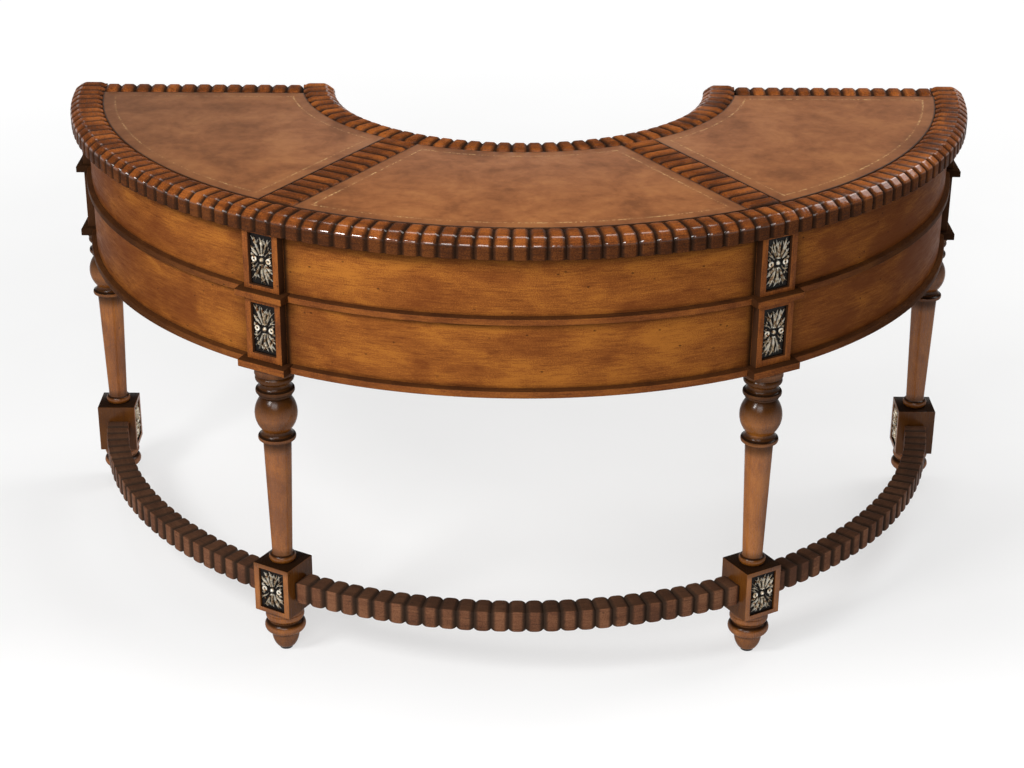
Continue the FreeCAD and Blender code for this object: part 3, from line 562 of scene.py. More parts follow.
def store_by(bm, layer, rule):
    """Stores the share of a finish, from 0 to 1, at each vertex."""
    bm.normal_update()
    share = bm.verts.layers.float.get(layer) or bm.verts.layers.float.new(layer)
    for v in bm.verts:
        v[share] = min(1.0, max(0.0, rule(v)))


def glaze_and_shade_by(bm, rule):
    """Stores the share of dark glazing and painted shade at each vertex."""
    store_by(bm, "glaze_and_shade", rule)


def ease(value):
    """Soft step from 0 to 1."""
    value = min(1.0, max(0.0, value))
    return value * value * (3 - 2 * value)


def swept(corners, rounded, steps):
    """Straight length of moulding: x runs from 0 to 1 along it, y across it and z up."""
    bm = bmesh.new()
    outline = [bm.verts.new((0, y, z)) for y, z in corners]
    bm.faces.new(outline)
    for radius, spots in rounded:
        bmesh.ops.bevel(bm, geom=[outline[i] for i in spots], offset=radius, segments=4, profile=0.5,
                        affect="VERTICES", material=-1)
    bmesh.ops.delete(bm, geom=bm.faces[:], context="FACES_ONLY")
    bmesh.ops.spin(bm, geom=bm.verts[:] + bm.edges[:], cent=(0, 0, 0), axis=(1, 0, 0),
                   dvec=(1 / steps, 0, 0), angle=0, steps=steps)
    bmesh.ops.holes_fill(bm, edges=[e for e in bm.edges if e.is_boundary])
    return bm


def oblong(near, far, low, high):
    """Corners of a rectangular section, from the lower near one round."""
    return [(near, low), (far, low), (far, high), (near, high)]


def lobe_drop(spot, roundness):
    """How far a lobe has fallen: 0 in the middle of its crest, 1 in the valleys at -1 and 1."""
    flank = max(0.0, abs(spot) - LOBE_CREST) / (1 - LOBE_CREST)
    dome = (1 - math.sqrt(1 - 0.96 * spot * spot)) / 0.8
    return (1 - roundness) * flank + roundness * dome


def lobe_glaze_and_shade(spot, z, front, dark):
    """Glazing and painted shade on a lobe: its flanks and valleys, all below the height front, and painted
    shade all above the height dark.
    """
    flank = ease((abs(spot) - 0.44) / 0.24) * (FLANK_GLAZE_AND_SHADE if z < front else TOP_FLANK_GLAZE_AND_SHADE)
    valley = VALLEY_GLAZE_AND_SHADE * ease((abs(spot) - 0.58) / 0.32)
    face = FRONT_GLAZE_AND_SHADE if z < front < OVER_DESK else 0.0
    return max(flank, valley, face, STRETCHER_TOP_SHADE if z > dark else 0.0)


def ridge_polish(spot, apart, spread):
    """Polish near a ridge of the section, weaker towards a lobe's valleys."""
    return RIDGE_POLISH * ease(1.5 - 1.5 * apart / spread) * (1 - 0.6 * ease((abs(spot) - 0.5) / 0.3))


def carve(bm, lobes, line, reach, seed, depth=LOBE_DEPTH, front=OVER_DESK, dark=OVER_DESK, ridges=(),
          roundness=LOBE_ROUND, spread=POLISH_REACH, tip=0.0):
    """Sinks valleys between lobes towards a line; stores the glazing with painted shade, each lobe's tone and
    the polished ridges.

    Where a tip length is given, the lobes narrow to round tips at the leather.
    """
    glaze_and_shade = bm.verts.layers.float.new("glaze_and_shade")
    tone = bm.verts.layers.float.new("tone")
    polish = bm.verts.layers.float.new("polish")
    hand = random.Random(seed)
    low = [hand.uniform(*LOBE_WEAR) for _ in range(lobes)]
    tones = [hand.uniform(-1.0, 1.0) for _ in range(lobes)]
    for v in bm.verts:
        along = v.co.x * lobes
        lobe = min(int(along + TINY), lobes - 1)
        spot = 2 * (along - lobe) - 1
        short = max(0.0, 1 - abs(v.co.y - line[0]) / tip) if tip else 0.0
        spot = max(-1.0, min(1.0, spot / math.sqrt(1 - TIP_ROUND * short * short)))
        v[glaze_and_shade] = lobe_glaze_and_shade(spot, v.co.z, front, dark)
        v[tone] = tones[lobe] * (1 - abs(spot) ** 4)
        apart = min([math.hypot(v.co.y - y, v.co.z - z) for y, z in ridges], default=1.0)
        v[polish] = ridge_polish(spot, apart, spread)
        if spread > POLISH_REACH:
            v[polish] *= WIDE_POLISH_SHARE * (v.co.z > front)
        sunk = depth * lobe_drop(spot, roundness) + low[lobe] * (1 - abs(spot)) + LOBE_SKIN
        if reach[0]:
            v.co.y = line[0] + (v.co.y - line[0]) * (1 - sunk / reach[0])
        height = line[1] + (v.co.z - line[1]) * (1 - sunk / reach[1])
        if short and v.co.z > LEATHER_LOW - TINY:
            height = max(height, LEATHER_LOW - TIP_SINK)
        v.co.z = height


def bend(bm, start, end):
    """Bends a straight length round the arc's centre: y is its radius, start and end its end angles."""
    for v in bm.verts:
        share, radius, z = v.co
        v.co = polar(radius, start(radius) * (1 - share) + end(radius) * share, z)


def at_post(side, half=0.0, towards=1):
    """Angle, at each radius, of a plane beside a front post's middle."""
    return lambda radius: side * POST_ANGLE + towards * math.asin(half / radius)


def at_depth(side, y):
    """Angle, at each radius, of a plane across the desk's end."""
    return lambda radius: side * math.acos((ARC_Y - y) / radius)


def corner_cut(distance):
    """How far a rounded corner of the top falls back, this far from its end."""
    if distance >= CORNER_ROUND:
        return 0.0
    return CORNER_ROUND - math.sqrt(CORNER_ROUND ** 2 - (CORNER_ROUND - max(distance, 0.0)) ** 2)


def box(bm, x0, x1, y0, y1, z0, z1):
    """Adds a box between these limits and returns its vertices."""
    made = bmesh.ops.create_cube(bm, size=1)["verts"]
    bmesh.ops.scale(bm, vec=(x1 - x0, y1 - y0, z1 - z0), verts=made)
    bmesh.ops.translate(bm, vec=((x0 + x1) / 2, (y0 + y1) / 2, (z0 + z1) / 2), verts=made)
    bm.normal_update()
    return made


def facing(verts, direction):
    """The face of a box that looks this way."""
    faces = {f for v in verts for f in v.link_faces}
    return max(faces, key=lambda f: f.normal.dot(Vector(direction)))


def recess(bm, face, width, height, depth):
    """Sets a panel of this width and height into an upright face."""
    spans = [max(v.co[i] for v in face.verts) - min(v.co[i] for v in face.verts) for i in (1, 2)]
    border = (spans[0] - width) / 2
    bmesh.ops.inset_region(bm, faces=[face], thickness=border, use_even_offset=True)
    middle = Matrix.Translation(-face.calc_center_median())
    bmesh.ops.scale(bm, vec=(1, 1, height / (spans[1] - 2 * border)), space=middle, verts=face.verts[:])
    bmesh.ops.inset_region(bm, faces=[face], thickness=RECESS_SLOPE, depth=-depth, use_even_offset=True)


# Top

def edge_corners(base, out):
    """Edge strip's section from the leather outwards: radius and height."""
    return [
        (base, EDGE_BOTTOM), (base + out * EDGE_WIDTH, EDGE_BOTTOM),
        (base + out * EDGE_WIDTH, TOP - BEVEL_DROP), (base + out * (EDGE_WIDTH - BEVEL_WIDTH), TOP),
        (base + out * EDGE_FALL, TOP), (base, LEATHER_LOW),
    ]


EDGE_ROUNDING = ((0.0016, (1,)), (0.0036, (2, 3)), (0.0045, (4,)))


def carved(name, bm, wood=CARVED_WOOD):
    """Finishes one lobed strip."""
    finished("carved_" + name, bm, wood, [name], sharp=LOBE_SHARP)


def round_corner(bm, base, out, start, end, side):
    """Rounds a corner of the top at one end of a strip and shades the end's face."""
    glaze_and_shade = bm.verts.layers.float["glaze_and_shade"]
    far = base + max(out, 0) * EDGE_WIDTH
    length = far * abs(end(far) - start(far))
    for v in bm.verts:
        to_end = length * (v.co.x if side < 0 else 1 - v.co.x)
        v.co.y = base + (v.co.y - base) * (1 - corner_cut(to_end) / EDGE_WIDTH)
        if to_end < CAP_DEPTH:
            v[glaze_and_shade] = CAP_GLAZE


def arc_edge(name, lobes, base, out, start, end, rounded, seed):
    """Curved lobed strip of the top; rounded tells which end is a corner, if any."""
    corners = edge_corners(base, out)
    bm = swept(corners, EDGE_ROUNDING, lobes * LOBE_CUTS)
    carve(bm, lobes, (base, EDGE_BOTTOM), (EDGE_WIDTH, EDGE_THICKNESS), seed, front=EDGE_FRONT,
          ridges=corners[2:4], spread=WIDE_POLISH if rounded > 0 else POLISH_REACH, tip=EDGE_TIP)
    if rounded:
        round_corner(bm, base, out, start, end, rounded)
    bend(bm, start, end)
    carved(name, bm)


def end_edge(name, side, seed):
    """Straight strip across one end of the top, between the two curved strips."""
    inner = math.sqrt(LEATHER_INNER ** 2 - END_SETBACK ** 2) + GLUE_LINE
    outer_back = math.sqrt(LEATHER_OUTER ** 2 - END_SETBACK ** 2) - GLUE_LINE
    outer_front = math.sqrt(LEATHER_OUTER ** 2 - (END_SETBACK + EDGE_WIDTH) ** 2) - GLUE_LINE
    corners = edge_corners(LEATHER_END, 1)
    bm = swept(corners, EDGE_ROUNDING, STRAIGHT_LOBES * LOBE_CUTS)
    carve(bm, STRAIGHT_LOBES, (LEATHER_END, EDGE_BOTTOM), (EDGE_WIDTH, EDGE_THICKNESS), seed,
          front=EDGE_FRONT, ridges=corners[2:4], tip=EDGE_TIP)
    for v in bm.verts:
        across = (v.co.y - LEATHER_END) / EDGE_WIDTH
        outer = outer_front * (1 - across) + outer_back * across
        v.co.x = side * (inner * (1 - v.co.x) + outer * v.co.x)
    carved(name, bm)


def divider(name, place, seed):
    """Lobed strip between two leather panels."""
    half = DIVIDER_WIDTH / 2
    low = LEATHER_INNER + GLUE_LINE - LEG_RADIUS
    high = math.sqrt(LEATHER_OUTER ** 2 - half ** 2) - GLUE_LINE - LEG_RADIUS
    bottom = TOP - DIVIDER_THICKNESS
    corners = [(-half, bottom), (half, bottom), (half, LEATHER_LOW), (half - DIVIDER_SLOPE, TOP),
               (DIVIDER_SLOPE - half, TOP), (-half, LEATHER_LOW)]
    bm = swept(corners, ((0.0030, (3, 4)),), STRAIGHT_LOBES * LOBE_CUTS)
    carve(bm, STRAIGHT_LOBES, (0, bottom), (None, DIVIDER_THICKNESS), seed, front=bottom)
    for v in bm.verts:
        v.co.x = low + (high - low) * v.co.x
    bmesh.ops.transform(bm, matrix=place, verts=bm.verts[:])
    carved(name, bm)


def leather_panel(name, start, end):
    """Hide glued to the board, its edges turned down at the border."""
    inner = LEATHER_INNER + GLUE_LINE
    outer = LEATHER_OUTER - GLUE_LINE
    corners = oblong(inner, outer, LEATHER_LOW, LEATHER_TOP)
    bm = swept(corners, ((HIDE_ROUND, (2, 3)),), HIDE_STEPS)
    bend(bm, start, end)
    finished("hide_" + name, bm, LEATHER, [name])


def top():
    """Lobed strips, each with its own seed for small differences, and leather panels."""
    bays = {
        "left": (at_depth(-1, TOP_END - GLUE_LINE), at_post(-1), -1),
        "centre": (at_post(-1), at_post(1), 0),
        "right": (at_post(1), at_depth(1, TOP_END - GLUE_LINE), 1),
    }
    for count, (bay, span) in enumerate(bays.items()):
        arc_edge("outer_edge_" + bay, OUTER_LOBES[count], LEATHER_OUTER, 1, *span, count)
        arc_edge("kneehole_edge_" + bay, KNEEHOLE_LOBES[count], LEATHER_INNER, -1, *span, count + 10)
    for side, label in ((-1, "left"), (1, "right")):
        end_edge("end_edge_" + label, side, 20 + side)
        divider("divider_strip_" + label, STANDS["front_" + label], 30 + side)
    gap = DIVIDER_WIDTH / 2 + GLUE_LINE
    leather_panel("leather_left", at_depth(-1, LEATHER_END - GLUE_LINE), at_post(-1, gap, -1))
    leather_panel("leather_centre", at_post(-1, gap, 1), at_post(1, gap, -1))
    leather_panel("leather_right", at_post(1, gap, 1), at_depth(1, LEATHER_END - GLUE_LINE))


# Apron, mouldings and posts

def bay_ends(half):
    """Start and end of the three bays between the posts."""
    back = BACK_LEG_Y - half
    return {
        "left": (at_depth(-1, back), at_post(-1, half, -1)),
        "centre": (at_post(-1, half, 1), at_post(1, half, -1)),
        "right": (at_post(1, half, 1), at_depth(1, back)),
    }


def end_shade(bay, share):
    """Painted shade: how far the end bays deepen towards the desk's ends."""
    if bay == "left":
        return 1.7 * ease(1.1 - share)
    if bay == "right":
        return 2.0 * ease(share + 0.35)
    return 0.0


def corner_shade(distance):
    """Glazing and painted shade beside a post: nearly black in the corner, then fading."""
    return max(0.92 * ease(1.7 - distance / 0.006), 0.72 * math.exp(-distance / 0.018))


def aprons():
    """Curved boards of the bays, with glazing and painted shade beside the posts and painted shade deepening
    towards the desk's ends.
    """
    corners = oblong(APRON_INNER, APRON_RADIUS, APRON_BOTTOM, EDGE_BOTTOM)
    for bay, (start, end) in bay_ends(POST_HALF + GLUE_LINE).items():
        bm = swept(corners, ((BOARD_ROUND, (0, 1)),), APRON_STEPS)
        length = APRON_RADIUS * abs(end(APRON_RADIUS) - start(APRON_RADIUS))
        # Glazing and painted shade in the corners by the posts, painted shade towards the ends
        glaze_and_shade_by(bm, lambda v: max(corner_shade(length * min(v.co.x, 1 - v.co.x)),
                                   0.12 * end_shade(bay, v.co.x)))
        # Painted shade: the tone falls towards the deep colour at the desk's ends
        tone = bm.verts.layers.float.new("tone")
        for v in bm.verts:
            v[tone] = -end_shade(bay, v.co.x)
        bend(bm, start, end)
        finished("veneered_apron_" + bay, bm, APRON_WOOD, ["apron_" + bay])


def moulding(name, low, high, node):
    """Fillet moulding round the three bays, with glazing and painted shade on its upper face and its lower
    edge, and painted shade towards the desk's ends.
    """
    inner = APRON_RADIUS + GLUE_LINE
    corners = [(inner, low), (MOULDING_OUTER, low), (MOULDING_OUTER, high - MOULDING_SLOPE), (inner, high)]
    bm = bmesh.new()
    for start, end in bay_ends(LEDGE_HALF + GLUE_LINE).values():
        length = swept(corners, ((BOARD_ROUND, (1, 2)),), MOULDING_STEPS)
        bend(length, start, end)
        absorb(bm, length)
    # Painted shade towards the desk's ends; glazing and painted shade on the upper and lower faces
    glaze_and_shade_by(bm, lambda v: max(0.76 * ease((abs(v.co.x) - 0.36) / 0.28),
                               min(0.72, 0.9 * (abs(v.normal.z) - 0.25) / 0.4)))
    finished(name, bm, MOULDING_WOOD, [node])


def posts():
    """Square posts between the apron's bays."""
    for name, place in STANDS.items():
        bm = bmesh.new()
        box(bm, POST_BACK, POST_FACE, -POST_HALF, POST_HALF, APRON_BOTTOM, EDGE_BOTTOM)
        soften(bm, ARRIS)
        bmesh.ops.transform(bm, matrix=place, verts=bm.verts[:])
        finished("squared_post_" + name, bm, FRAME_WOOD, ["post_" + name])


def post_frames():
    """Raised frames for the plaques, with glazing and painted shade on their sides and in their recesses."""
    whole = bmesh.new()
    for name, place in STANDS.items():
        border = BACK_FRAME_GLAZE if REAR[name] else 0.0
        for low, high in FRAME_RANGES:
            bm = bmesh.new()
            verts = box(bm, POST_FACE, FRAME_FACE, -POST_HALF, POST_HALF, low, high)
            opening = 2 * (POST_HALF - FRAME_BORDER)
            recess(bm, facing(verts, (1, 0, 0)), opening, FRAME_OPENING, FRAME_RECESS)
            soften(bm, FRAME_ARRIS)
            # Glazing and painted shade on everything behind the frame's face: the recess and the sides
            glaze_and_shade_by(bm, lambda v: RECESS_GLAZE_AND_SHADE if v.co.x < FRAME_FACE - RECESS_SLOPE else border)
            absorb(whole, bm, place)
    finished("plaque_frames", whole, FRAME_WOOD, ["post_frames"])


def ledge_glaze_and_shade(v, middle):
    """Glazing and painted shade on a ledge's upper face, painted shade on its two ends."""
    upper = (abs(v.normal.z) - 0.2) * 2 * (v.co.z > middle)
    return min(0.8, max(upper, (abs(v.normal.y) - 0.5) * 2))


def ledges():
    """Sloped ledges under the frames; the back posts' ledges stop at the desk's back and are dark."""
    whole = bmesh.new()
    for name, place in STANDS.items():
        near = -POST_HALF if REAR[name] < 0 else -LEDGE_HALF
        far = POST_HALF if REAR[name] > 0 else LEDGE_HALF
        least = BACK_LEDGE_GLAZE if REAR[name] else 0.0
        for low, high in ((APRON_BOTTOM, BASE_TOP), (MID_BOTTOM, MID_TOP)):
            corners = [(POST_FACE, low), (LEDGE_FACE, low), (LEDGE_FACE, high - LEDGE_SLOPE),
                       (FRAME_FACE, high), (POST_FACE, high)]
            bm = swept(corners, ((LEDGE_ROUND, (1, 2)),), 2)
            for v in bm.verts:
                v.co = Vector((v.co.y, near + (far - near) * v.co.x, v.co.z))
            bmesh.ops.recalc_face_normals(bm, faces=bm.faces[:])
            soften(bm, ARRIS)
            middle = (low + high) / 2
            # Glazing and painted shade on the ledge's faces
            glaze_and_shade_by(bm, lambda v: max(least, ledge_glaze_and_shade(v, middle)))
            absorb(whole, bm, place)
    finished("post_ledge_mouldings", whole, MOULDING_WOOD, ["post_ledges"])


# Plaques

def strand(bm, start, end, width, height, sway, curl=0.0):
    """One cast leaf rib: a slim pointed ridge, half sunk in the ground, with a turned tip."""
    run = Vector((end[0] - start[0], end[1] - start[1]))
    side = Vector((-run.y, run.x)).normalized()
    verts = bmesh.ops.create_uvsphere(bm, u_segments=6, v_segments=9, radius=1)["verts"]
    for v in verts:
        along = v.co.z
        lean = sway * (1 - along * along) + curl * max(0.0, along) ** 2
        lean += v.co.x * width * (1.0 + 0.25 * along)
        y = (start[0] + end[0]) / 2 + run.x * along / 2 + side.x * lean
        z = (start[1] + end[1]) / 2 + run.y * along / 2 + side.y * lean
        v.co = Vector((v.co.y * height * (1.0 - 0.2 * along), y, z))


def bead(bm, y, z, radius, height):
    """Round bead, half sunk in the ground."""
    verts = bmesh.ops.create_uvsphere(bm, u_segments=10, v_segments=6, radius=1)["verts"]
    bmesh.ops.scale(bm, vec=(height, radius, radius), verts=verts)
    bmesh.ops.translate(bm, vec=(0, y, z), verts=verts)


def volute(bm, y, z, radius, wire):
    """Ring that stands for a rolled leaf's end."""
    hoop = bmesh.new()
    bmesh.ops.create_circle(hoop, segments=7, radius=wire)
    bmesh.ops.rotate(hoop, verts=hoop.verts[:], matrix=Matrix.Rotation(math.pi / 2, 3, "X"))
    bmesh.ops.translate(hoop, verts=hoop.verts[:], vec=(radius, 0, 0))
    bmesh.ops.spin(hoop, geom=hoop.verts[:] + hoop.edges[:], cent=(0, 0, 0), axis=(0, 0, 1),
                   angle=2 * math.pi, steps=14, use_merge=True)
    absorb(bm, hoop, Matrix.Translation((VOLUTE_LIFT, y, z)) @ Matrix.Rotation(math.pi / 2, 4, "Y"))


def leaf(bm, hand, side, way, count, lean, width, height):
    """One leaf rib of a fan, at a lean from upright, with a finer rib forking from it."""
    angle = math.radians(lean + hand.uniform(-3.0, 3.0))
    toward = Vector((side * math.sin(angle), way * math.cos(angle)))
    reach = min((width / 2 - RIB_MARGIN) / abs(toward.x), (height / 2 - RIB_MARGIN) / abs(toward.y))
    start = toward * (0.0064 + 0.0050 * (count % 2) + 0.0045 * math.sin(angle) ** 2)
    end = toward * reach * hand.uniform(0.90, 1.0)
    bow = side * way * hand.uniform(0.0012, 0.0026) * (-0.7 if count % 2 else 1.0)
    curl = -side * way * hand.uniform(0.0010, 0.0022) * (lean < 60)
    thin = hand.uniform(0.0005, 0.0008)
    tall = hand.uniform(0.0034, 0.0046)
    strand(bm, start, end, thin, tall, bow, curl)
    fork = start.lerp(end, 0.55)
    tip = Matrix.Rotation(side * way * 0.12, 2) @ end * hand.uniform(0.82, 0.94)
    strand(bm, fork, tip, 0.0004, 0.0030, -0.5 * bow, -curl)


def plaque(width, height, seed):
    """Cast acanthus plaque facing +x about its own middle: boss, two volutes and fans of leaf ribs."""
    hand = random.Random(seed)
    relief = bmesh.new()
    bead(relief, 0, 0, 0.0034, 0.0052)
    for side in (-1, 1):
        volute(relief, side * width * 0.30, 0, 0.0033, 0.0015)
        for way in (-1, 1):
            bead(relief, side * 0.0016, way * 0.0082, 0.0013, 0.0044)
            for count, lean in enumerate(RIB_LEANS):
                leaf(relief, hand, side, way, count, lean, width, height)
    glaze_and_shade_by(relief, lambda v: 1.3 - v.co.x / 0.0012)
    ground = bmesh.new()
    box(ground, -PLAQUE_GROUND, 0.0, -width / 2, width / 2, -height / 2, height / 2)
    soften(ground, GROUND_ARRIS, 1)
    glaze_and_shade_by(ground, lambda v: 1.0)
    absorb(relief, ground)
    return relief


def plaques():
    """Plaques in the posts' frames and on the outer and inner face of each leg's block."""
    on_posts = bmesh.new()
    on_blocks = bmesh.new()
    width = 2 * (POST_HALF - FRAME_BORDER - PLAQUE_GAP)
    block_size = [side - 2 * PLAQUE_GAP for side in BLOCK_PANEL]
    for count, place in enumerate(STANDS.values()):
        for tier, (low, high) in enumerate(FRAME_RANGES):
            spot = Matrix.Translation((FRAME_FACE - POST_PLAQUE_SINK, 0, (low + high) / 2))
            absorb(on_posts, plaque(width, FRAME_OPENING - 2 * PLAQUE_GAP, 5 * count + tier), place @ spot)
        for way, turn in enumerate((0, math.pi)):
            spot = Matrix.Translation((BLOCK_HALF - BLOCK_PLAQUE_SINK, 0, BLOCK_MIDDLE))
            spot = Matrix.Rotation(turn, 4, "Z") @ spot
            absorb(on_blocks, plaque(*block_size, 50 + 5 * count + way), place @ spot)
    finished("cast_post_plaques", on_posts, CAST_METAL, ["post_plaques"])
    finished("cast_block_plaques", on_blocks, CAST_METAL, ["block_plaques"])


# Legs and stretcher

def arc_centre(a, b, c):
    """Middle of the circle through three points."""
    d = 2 * (a.x * (b.y - c.y) + b.x * (c.y - a.y) + c.x * (a.y - b.y))
    x = a.length_squared * (b.y - c.y) + b.length_squared * (c.y - a.y) + c.length_squared * (a.y - b.y)
    y = a.length_squared * (c.x - b.x) + b.length_squared * (a.x - c.x) + c.length_squared * (b.x - a.x)
    return Vector((x / d, y / d))


def turned(steps):
    """Turned solid from a chain of (radius, height) points; four numbers give an arc by its bulge and end."""
    bm = bmesh.new()
    last = bm.verts.new((0, 0, steps[0][1]))
    for step in steps:
        if len(step) == 2:
            here = bm.verts.new((step[0], 0, step[1]))
            bm.edges.new((last, here))
            last = here
            continue
        points = [Vector((last.co.x, last.co.z)), Vector(step[:2]), Vector(step[2:])]
        centre = arc_centre(*points)
        turn = [math.atan2(p.x - centre.x, p.y - centre.y) for p in points]
        sweep = sum((turn[i + 1] - turn[i] + math.pi) % (2 * math.pi) - math.pi for i in (0, 1))
        made = bmesh.ops.spin(bm, geom=[last], cent=(centre.x, 0, centre.y), axis=(0, 1, 0),
                              angle=sweep, steps=10)
        last = [g for g in made["geom_last"] if isinstance(g, bmesh.types.BMVert)][0]
    foot = bm.verts.new((0, 0, last.co.z))
    bm.edges.new((last, foot))
    bmesh.ops.spin(bm, geom=bm.verts[:] + bm.edges[:], cent=(0, 0, 0), axis=(0, 0, 1),
                   angle=2 * math.pi, steps=56, use_merge=True)
    bmesh.ops.remove_doubles(bm, verts=bm.verts[:], dist=TINY)
    return bm


LEG_TOP = [
    (0.0315, 0.5115), (0.0315, 0.5010), (0.0314, 0.4984, 0.0300, 0.4972), (0.0286, 0.4966), (0.0292, 0.4952),
    (0.0308, 0.4915, 0.0296, 0.4874), (0.0262, 0.4856), (0.0241, 0.4830),
    (0.0250, 0.4765, 0.0304, 0.4726), (0.0310, 0.4698, 0.0304, 0.4668), (0.0270, 0.4655),
    (0.0276, 0.4630, 0.0262, 0.4606), (0.0236, 0.4592), (0.0232, 0.4585),
    (0.0340, 0.4300, 0.0232, 0.4015), (0.0230, 0.4005),
    (0.0244, 0.3950, 0.0296, 0.3908), (0.0302, 0.3880, 0.0296, 0.3852), (0.0250, 0.3840), (0.0226, 0.3828),
    (0.0220, 0.3640), (0.0165, 0.1810), (0.0172, 0.1785), (0.0220, 0.1718, 0.0186, 0.1650),
]
LEG_FOOT = [
    (0.0300, 0.0775), (0.0300, 0.0700), (0.0318, 0.0640, 0.0290, 0.0578), (0.0266, 0.0558), (0.0272, 0.0542),
    (0.0338, 0.0442, 0.0268, 0.0345), (0.0240, 0.0325), (0.0226, 0.0300),
    (0.0206, 0.0165, 0.0152, 0.0062), (0.0112, 0.0046), (0.0105, 0.0040),
]


def ball_polish(v):
    """Polish on the upper side of the ball under a leg's neck."""
    return BALL_POLISH * ease((v.normal.z - 0.48) / 0.20) * (BALL_LOW < v.co.z < BALL_HIGH)


def leg(name, place):
    """Turned leg with its square block: flat and hollow upper faces and the block's sides are darkened with
    glazing and painted shade, and the undersides with painted shade.
    """
    bm = bmesh.new()
    verts = box(bm, -BLOCK_HALF, BLOCK_HALF, -BLOCK_HALF, BLOCK_HALF, BLOCK_BOTTOM, BLOCK_TOP)
    for way in (-1, 1):
        recess(bm, facing(verts, (way, 0, 0)), *BLOCK_PANEL, BLOCK_RECESS)
    soften(bm, BLOCK_ARRIS)
    side = 0.72 if REAR[name] else 0.66
    # Painted shade on the block's top, under the desk; glazing and painted shade on its sides
    glaze_and_shade_by(bm, lambda v: max(0.9 * (v.normal.z - 0.5) / 0.3,
                               side * min(1.0, (abs(v.normal.y) - 0.5) / 0.3)))
    store_by(bm, "polish", lambda v: 0.0)
    for steps in (LEG_TOP, LEG_FOOT):
        spindle = turned(steps)
        bmesh.ops.recalc_face_normals(spindle, faces=spindle.faces[:])
        # Glazing and painted shade on upward faces, painted shade on the undersides
        glaze_and_shade_by(spindle, lambda v: max(0.85 * (v.normal.z - 0.30) / 0.35, 0.5 * (-v.normal.z - 0.45) / 0.4))
        store_by(spindle, "polish", ball_polish)
        absorb(bm, spindle)
    bmesh.ops.transform(bm, matrix=place, verts=bm.verts[:])
    finished("turned_leg_" + name, bm, TURNED_WOOD, ["leg_" + name])


def stretcher(name, lobes, start, end, seed):
    """Curved lobed rail between two leg blocks, with painted shade on its upper face, where the top above
    shades it.
    """
    low = BLOCK_MIDDLE - STRETCHER_TALL
    high = BLOCK_MIDDLE + STRETCHER_TALL
    corners = oblong(LEG_RADIUS - STRETCHER_HALF, LEG_RADIUS + STRETCHER_HALF, low, high)
    bm = swept(corners, ((STRETCHER_ROUND, (0, 1, 2, 3)),), lobes * LOBE_CUTS)
    # Painted shade on the rail's top faces, above the height dark
    carve(bm, lobes, (LEG_RADIUS, BLOCK_MIDDLE), (STRETCHER_HALF, STRETCHER_TALL), seed, STRETCHER_LOBE_DEPTH,
          dark=high - 0.0001, roundness=STRETCHER_LOBE_ROUND)
    bend(bm, start, end)
    carved(name, bm, STRETCHER_WOOD)


# Kneehole side

def kneehole_panels():
    """Curved panels on both sides of the knee space."""
    for side, label in ((-1, "left"), (1, "right")):
        node = "kneehole_panel_" + label
        start = at_post(side, PARTITION_HALF + GLUE_LINE, side)
        end = at_depth(side, END_FACE - END_FRAME_THICKNESS)
        corners = oblong(PANEL_RADIUS, PANEL_BACK, APRON_BOTTOM, EDGE_BOTTOM)
        bm = swept(corners, ((BOARD_ROUND, (0,)),), PANEL_STEPS)
        bend(bm, start, end)
        finished("veneered_" + node, bm, CURVED_VENEER, [node])


def strung(bm, faces, sunk):
    """Cuts a thin dark line round a drawer front; sunk gives a point's depth behind the front."""
    bmesh.ops.inset_region(bm, faces=faces, thickness=LINE_INSET, use_even_offset=True, use_boundary=True)
    for depth in (-LINE_DEPTH, LINE_DEPTH):
        bmesh.ops.inset_region(bm, faces=faces, thickness=LINE_WIDTH, depth=depth, use_even_offset=True)
    glaze_and_shade_by(bm, lambda v: 0.9 if 0.7 * LINE_DEPTH < sunk(v.co) < 1.3 * LINE_DEPTH else 0.0)


def drawer_fronts():
    """Flat fronts in the two ends and a hollow curved front in the kneehole."""
    for label in ("left", "right"):
        low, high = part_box("drawer_%s_front" % label)
        bm = bmesh.new()
        verts = box(bm, low.x, high.x, low.y, high.y, low.z, high.z)
        strung(bm, [facing(verts, (0, 1, 0))], lambda place: high.y - place.y)
        finished("strung_front_" + label, bm, FLAT_VENEER, ["drawer_%s_front" % label],
                 "drawer_" + label, LINE_SHARP)
    low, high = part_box("drawer_centre_front")
    back = PANEL_RADIUS + DRAWER_FRONT
    bm = swept(oblong(PANEL_RADIUS, back, low.z, high.z), (), FRONT_STEPS)
    bend(bm, lambda radius: math.asin(low.x / radius), lambda radius: math.asin(high.x / radius))
    centre = Vector((0, ARC_Y))
    hollow = [f for f in bm.faces if all((v.co.xy - centre).length < PANEL_RADIUS + 1e-5 for v in f.verts)]
    bmesh.ops.recalc_face_normals(bm, faces=bm.faces[:])
    strung(bm, hollow, lambda place: (place.xy - centre).length - PANEL_RADIUS)
    finished("strung_front_centre", bm, CURVED_VENEER, ["drawer_centre_front"],
             "drawer_centre", LINE_SHARP)


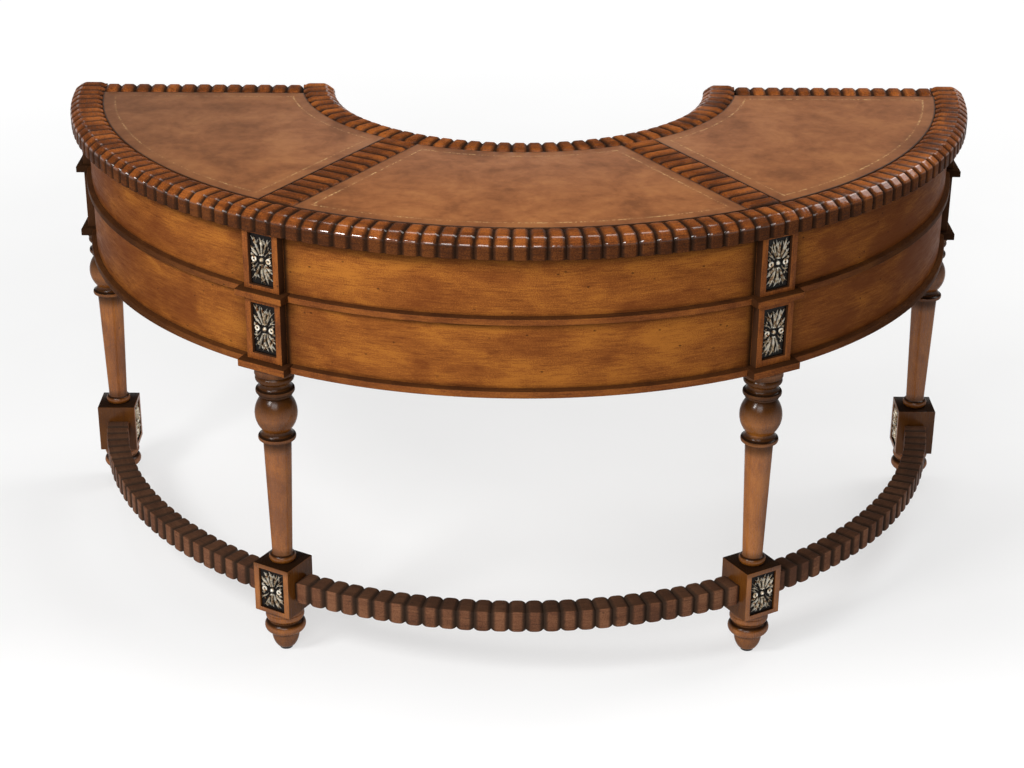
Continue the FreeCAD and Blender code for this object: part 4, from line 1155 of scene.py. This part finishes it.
def kept_nodes():
    """Pieces that keep their solid shape and only take a finish."""
    kept = {
        "top_board": CARVED_WOOD, "partition_left": FRAME_WOOD, "partition_right": FRAME_WOOD,
        "end_frame_left": FRAME_WOOD, "end_frame_right": FRAME_WOOD, "bottom_board_left": INNER_WOOD,
        "bottom_board_right": INNER_WOOD, "dust_board": INNER_WOOD, "drawer_runners": INNER_WOOD,
        "leg_glides": NYLON, "leg_bolts": BOLT_STEEL,
    }
    for label in ("left", "centre", "right"):
        kept["drawer_%s_box" % label] = DRAWER_WOOD
        kept["drawer_%s_bottom" % label] = DRAWER_WOOD
        kept["drawer_%s_knob" % label] = KNOB_BRASS
    for node, finish in kept.items():
        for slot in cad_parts[node].material_slots:
            slot.material = finish.material


top()
aprons()
moulding("mid_moulding", MID_BOTTOM, MID_TOP, "mid_mouldings")
moulding("base_moulding", APRON_BOTTOM, BASE_TOP, "base_mouldings")
posts()
post_frames()
ledges()
plaques()
for name, place in STANDS.items():
    leg(name, place)
for count, (bay, span) in enumerate(bay_ends(BLOCK_HALF + GLUE_LINE).items()):
    stretcher("stretcher_" + bay, STRETCHER_LOBES[count], *span, 40 + count)
kneehole_panels()
drawer_fronts()
kept_nodes()


# Studio

def paper_floor():
    """Pale paper that shines white to the eye, more so far from the desk, with painted light just in front of
    it, and keeps the shadows near it.
    """
    bm = bmesh.new()
    bmesh.ops.create_grid(bm, x_segments=1, y_segments=1, size=30)
    mesh = bpy.data.meshes.new("paper_floor")
    bm.to_mesh(mesh)
    bm.free()
    paper = Finish("white_paper")
    grain = paper.noise(paper.place, 3.0, 2.0)
    paper.set(base_color=paper.ramp(grain, (0.3, (0.33, 0.33, 0.328, 1)), (0.7, (0.35, 0.35, 0.348, 1))))
    paper.set(roughness=0.9, specular_ior_level=0.0)
    away = paper.node("VectorMath", paper.place, operation="LENGTH").outputs["Value"]
    # Painted light: the paper glows brighter just in front of the desk
    near = paper.fade(paper.split(paper.place)[1], -0.60, -0.10, 0.17, 0.0)
    level = paper.math("ADD", paper.fade(away, 0.7, 4.0, 0.61, 0.95), near)
    level = paper.math("MULTIPLY", paper.math("MAXIMUM", paper.seen(), 0.40), level)
    glow = paper.node("Emission", (1, 1, 1, 1), level)
    both = paper.node("AddShader", paper.shader.outputs[0], glow.outputs[0])
    paper.feed(paper.tree.nodes["Material Output"].inputs[0], both.outputs[0])
    mesh.materials.append(paper.material)
    floor = placed("paper_floor", mesh)


def softbox(name, place, aim, size, power):
    """Rectangular lamp aimed at a point."""
    light = bpy.data.lights.new(name, "AREA")
    light.shape = "RECTANGLE"
    light.size, light.size_y = size
    light.energy = power
    lamp = placed(name, light)
    lamp.location = place
    lamp.rotation_euler = (Vector(aim) - Vector(place)).to_track_quat("-Z", "Y").to_euler()


def studio_air():
    """Surroundings: white round the horizon, dim overhead, and weaker as light than to the eye."""
    world = bpy.data.worlds.new("studio_air")
    world.use_nodes = True
    bpy.context.scene.world = world
    air = Nodes(world.node_tree)
    rise = air.split(air.node("TexCoord").outputs["Generated"])[2]
    level = air.fade(rise, 0.06, 0.34, 1.0, 0.12)
    background = air.tree.nodes["Background"].inputs
    air.feed(background["Color"], (1, 1, 1, 1))
    air.feed(background["Strength"], air.math("MULTIPLY", level, air.math("MAXIMUM", air.seen(), 0.30)))


def camera():
    """The photograph's view, solved from points of the desk."""
    lens = bpy.data.cameras.new("photo_view")
    lens.sensor_width = 36
    lens.lens = 75.2048
    lens.clip_end = 100
    eye = placed("photo_view", lens)
    eye.location = (-0.01863, -3.28315, 1.88316)
    eye.rotation_euler = [math.radians(a) for a in (65.19149, -0.33683, 0.00441)]
    bpy.context.scene.camera = eye


paper_floor()
softbox("left_softbox", (-1.81, -1.77, 2.46), (0, -0.1, 0.5), (0.75, 0.75), 58)
softbox("right_softbox", (1.8, 1.1, 2.2), (0, 0, 0.6), (1.1, 1.1), 25)
softbox("overhead_softbox", (0.0, 0.5, 3.2), (0, -0.1, 0.6), (2.4, 1.2), 37)
softbox("front_softbox", (-0.6, -3.7, 2.7), (0, -0.1, 0.5), (2.2, 1.6), 78)
studio_air()
camera()
bpy.context.scene.view_settings.view_transform = "Standard"
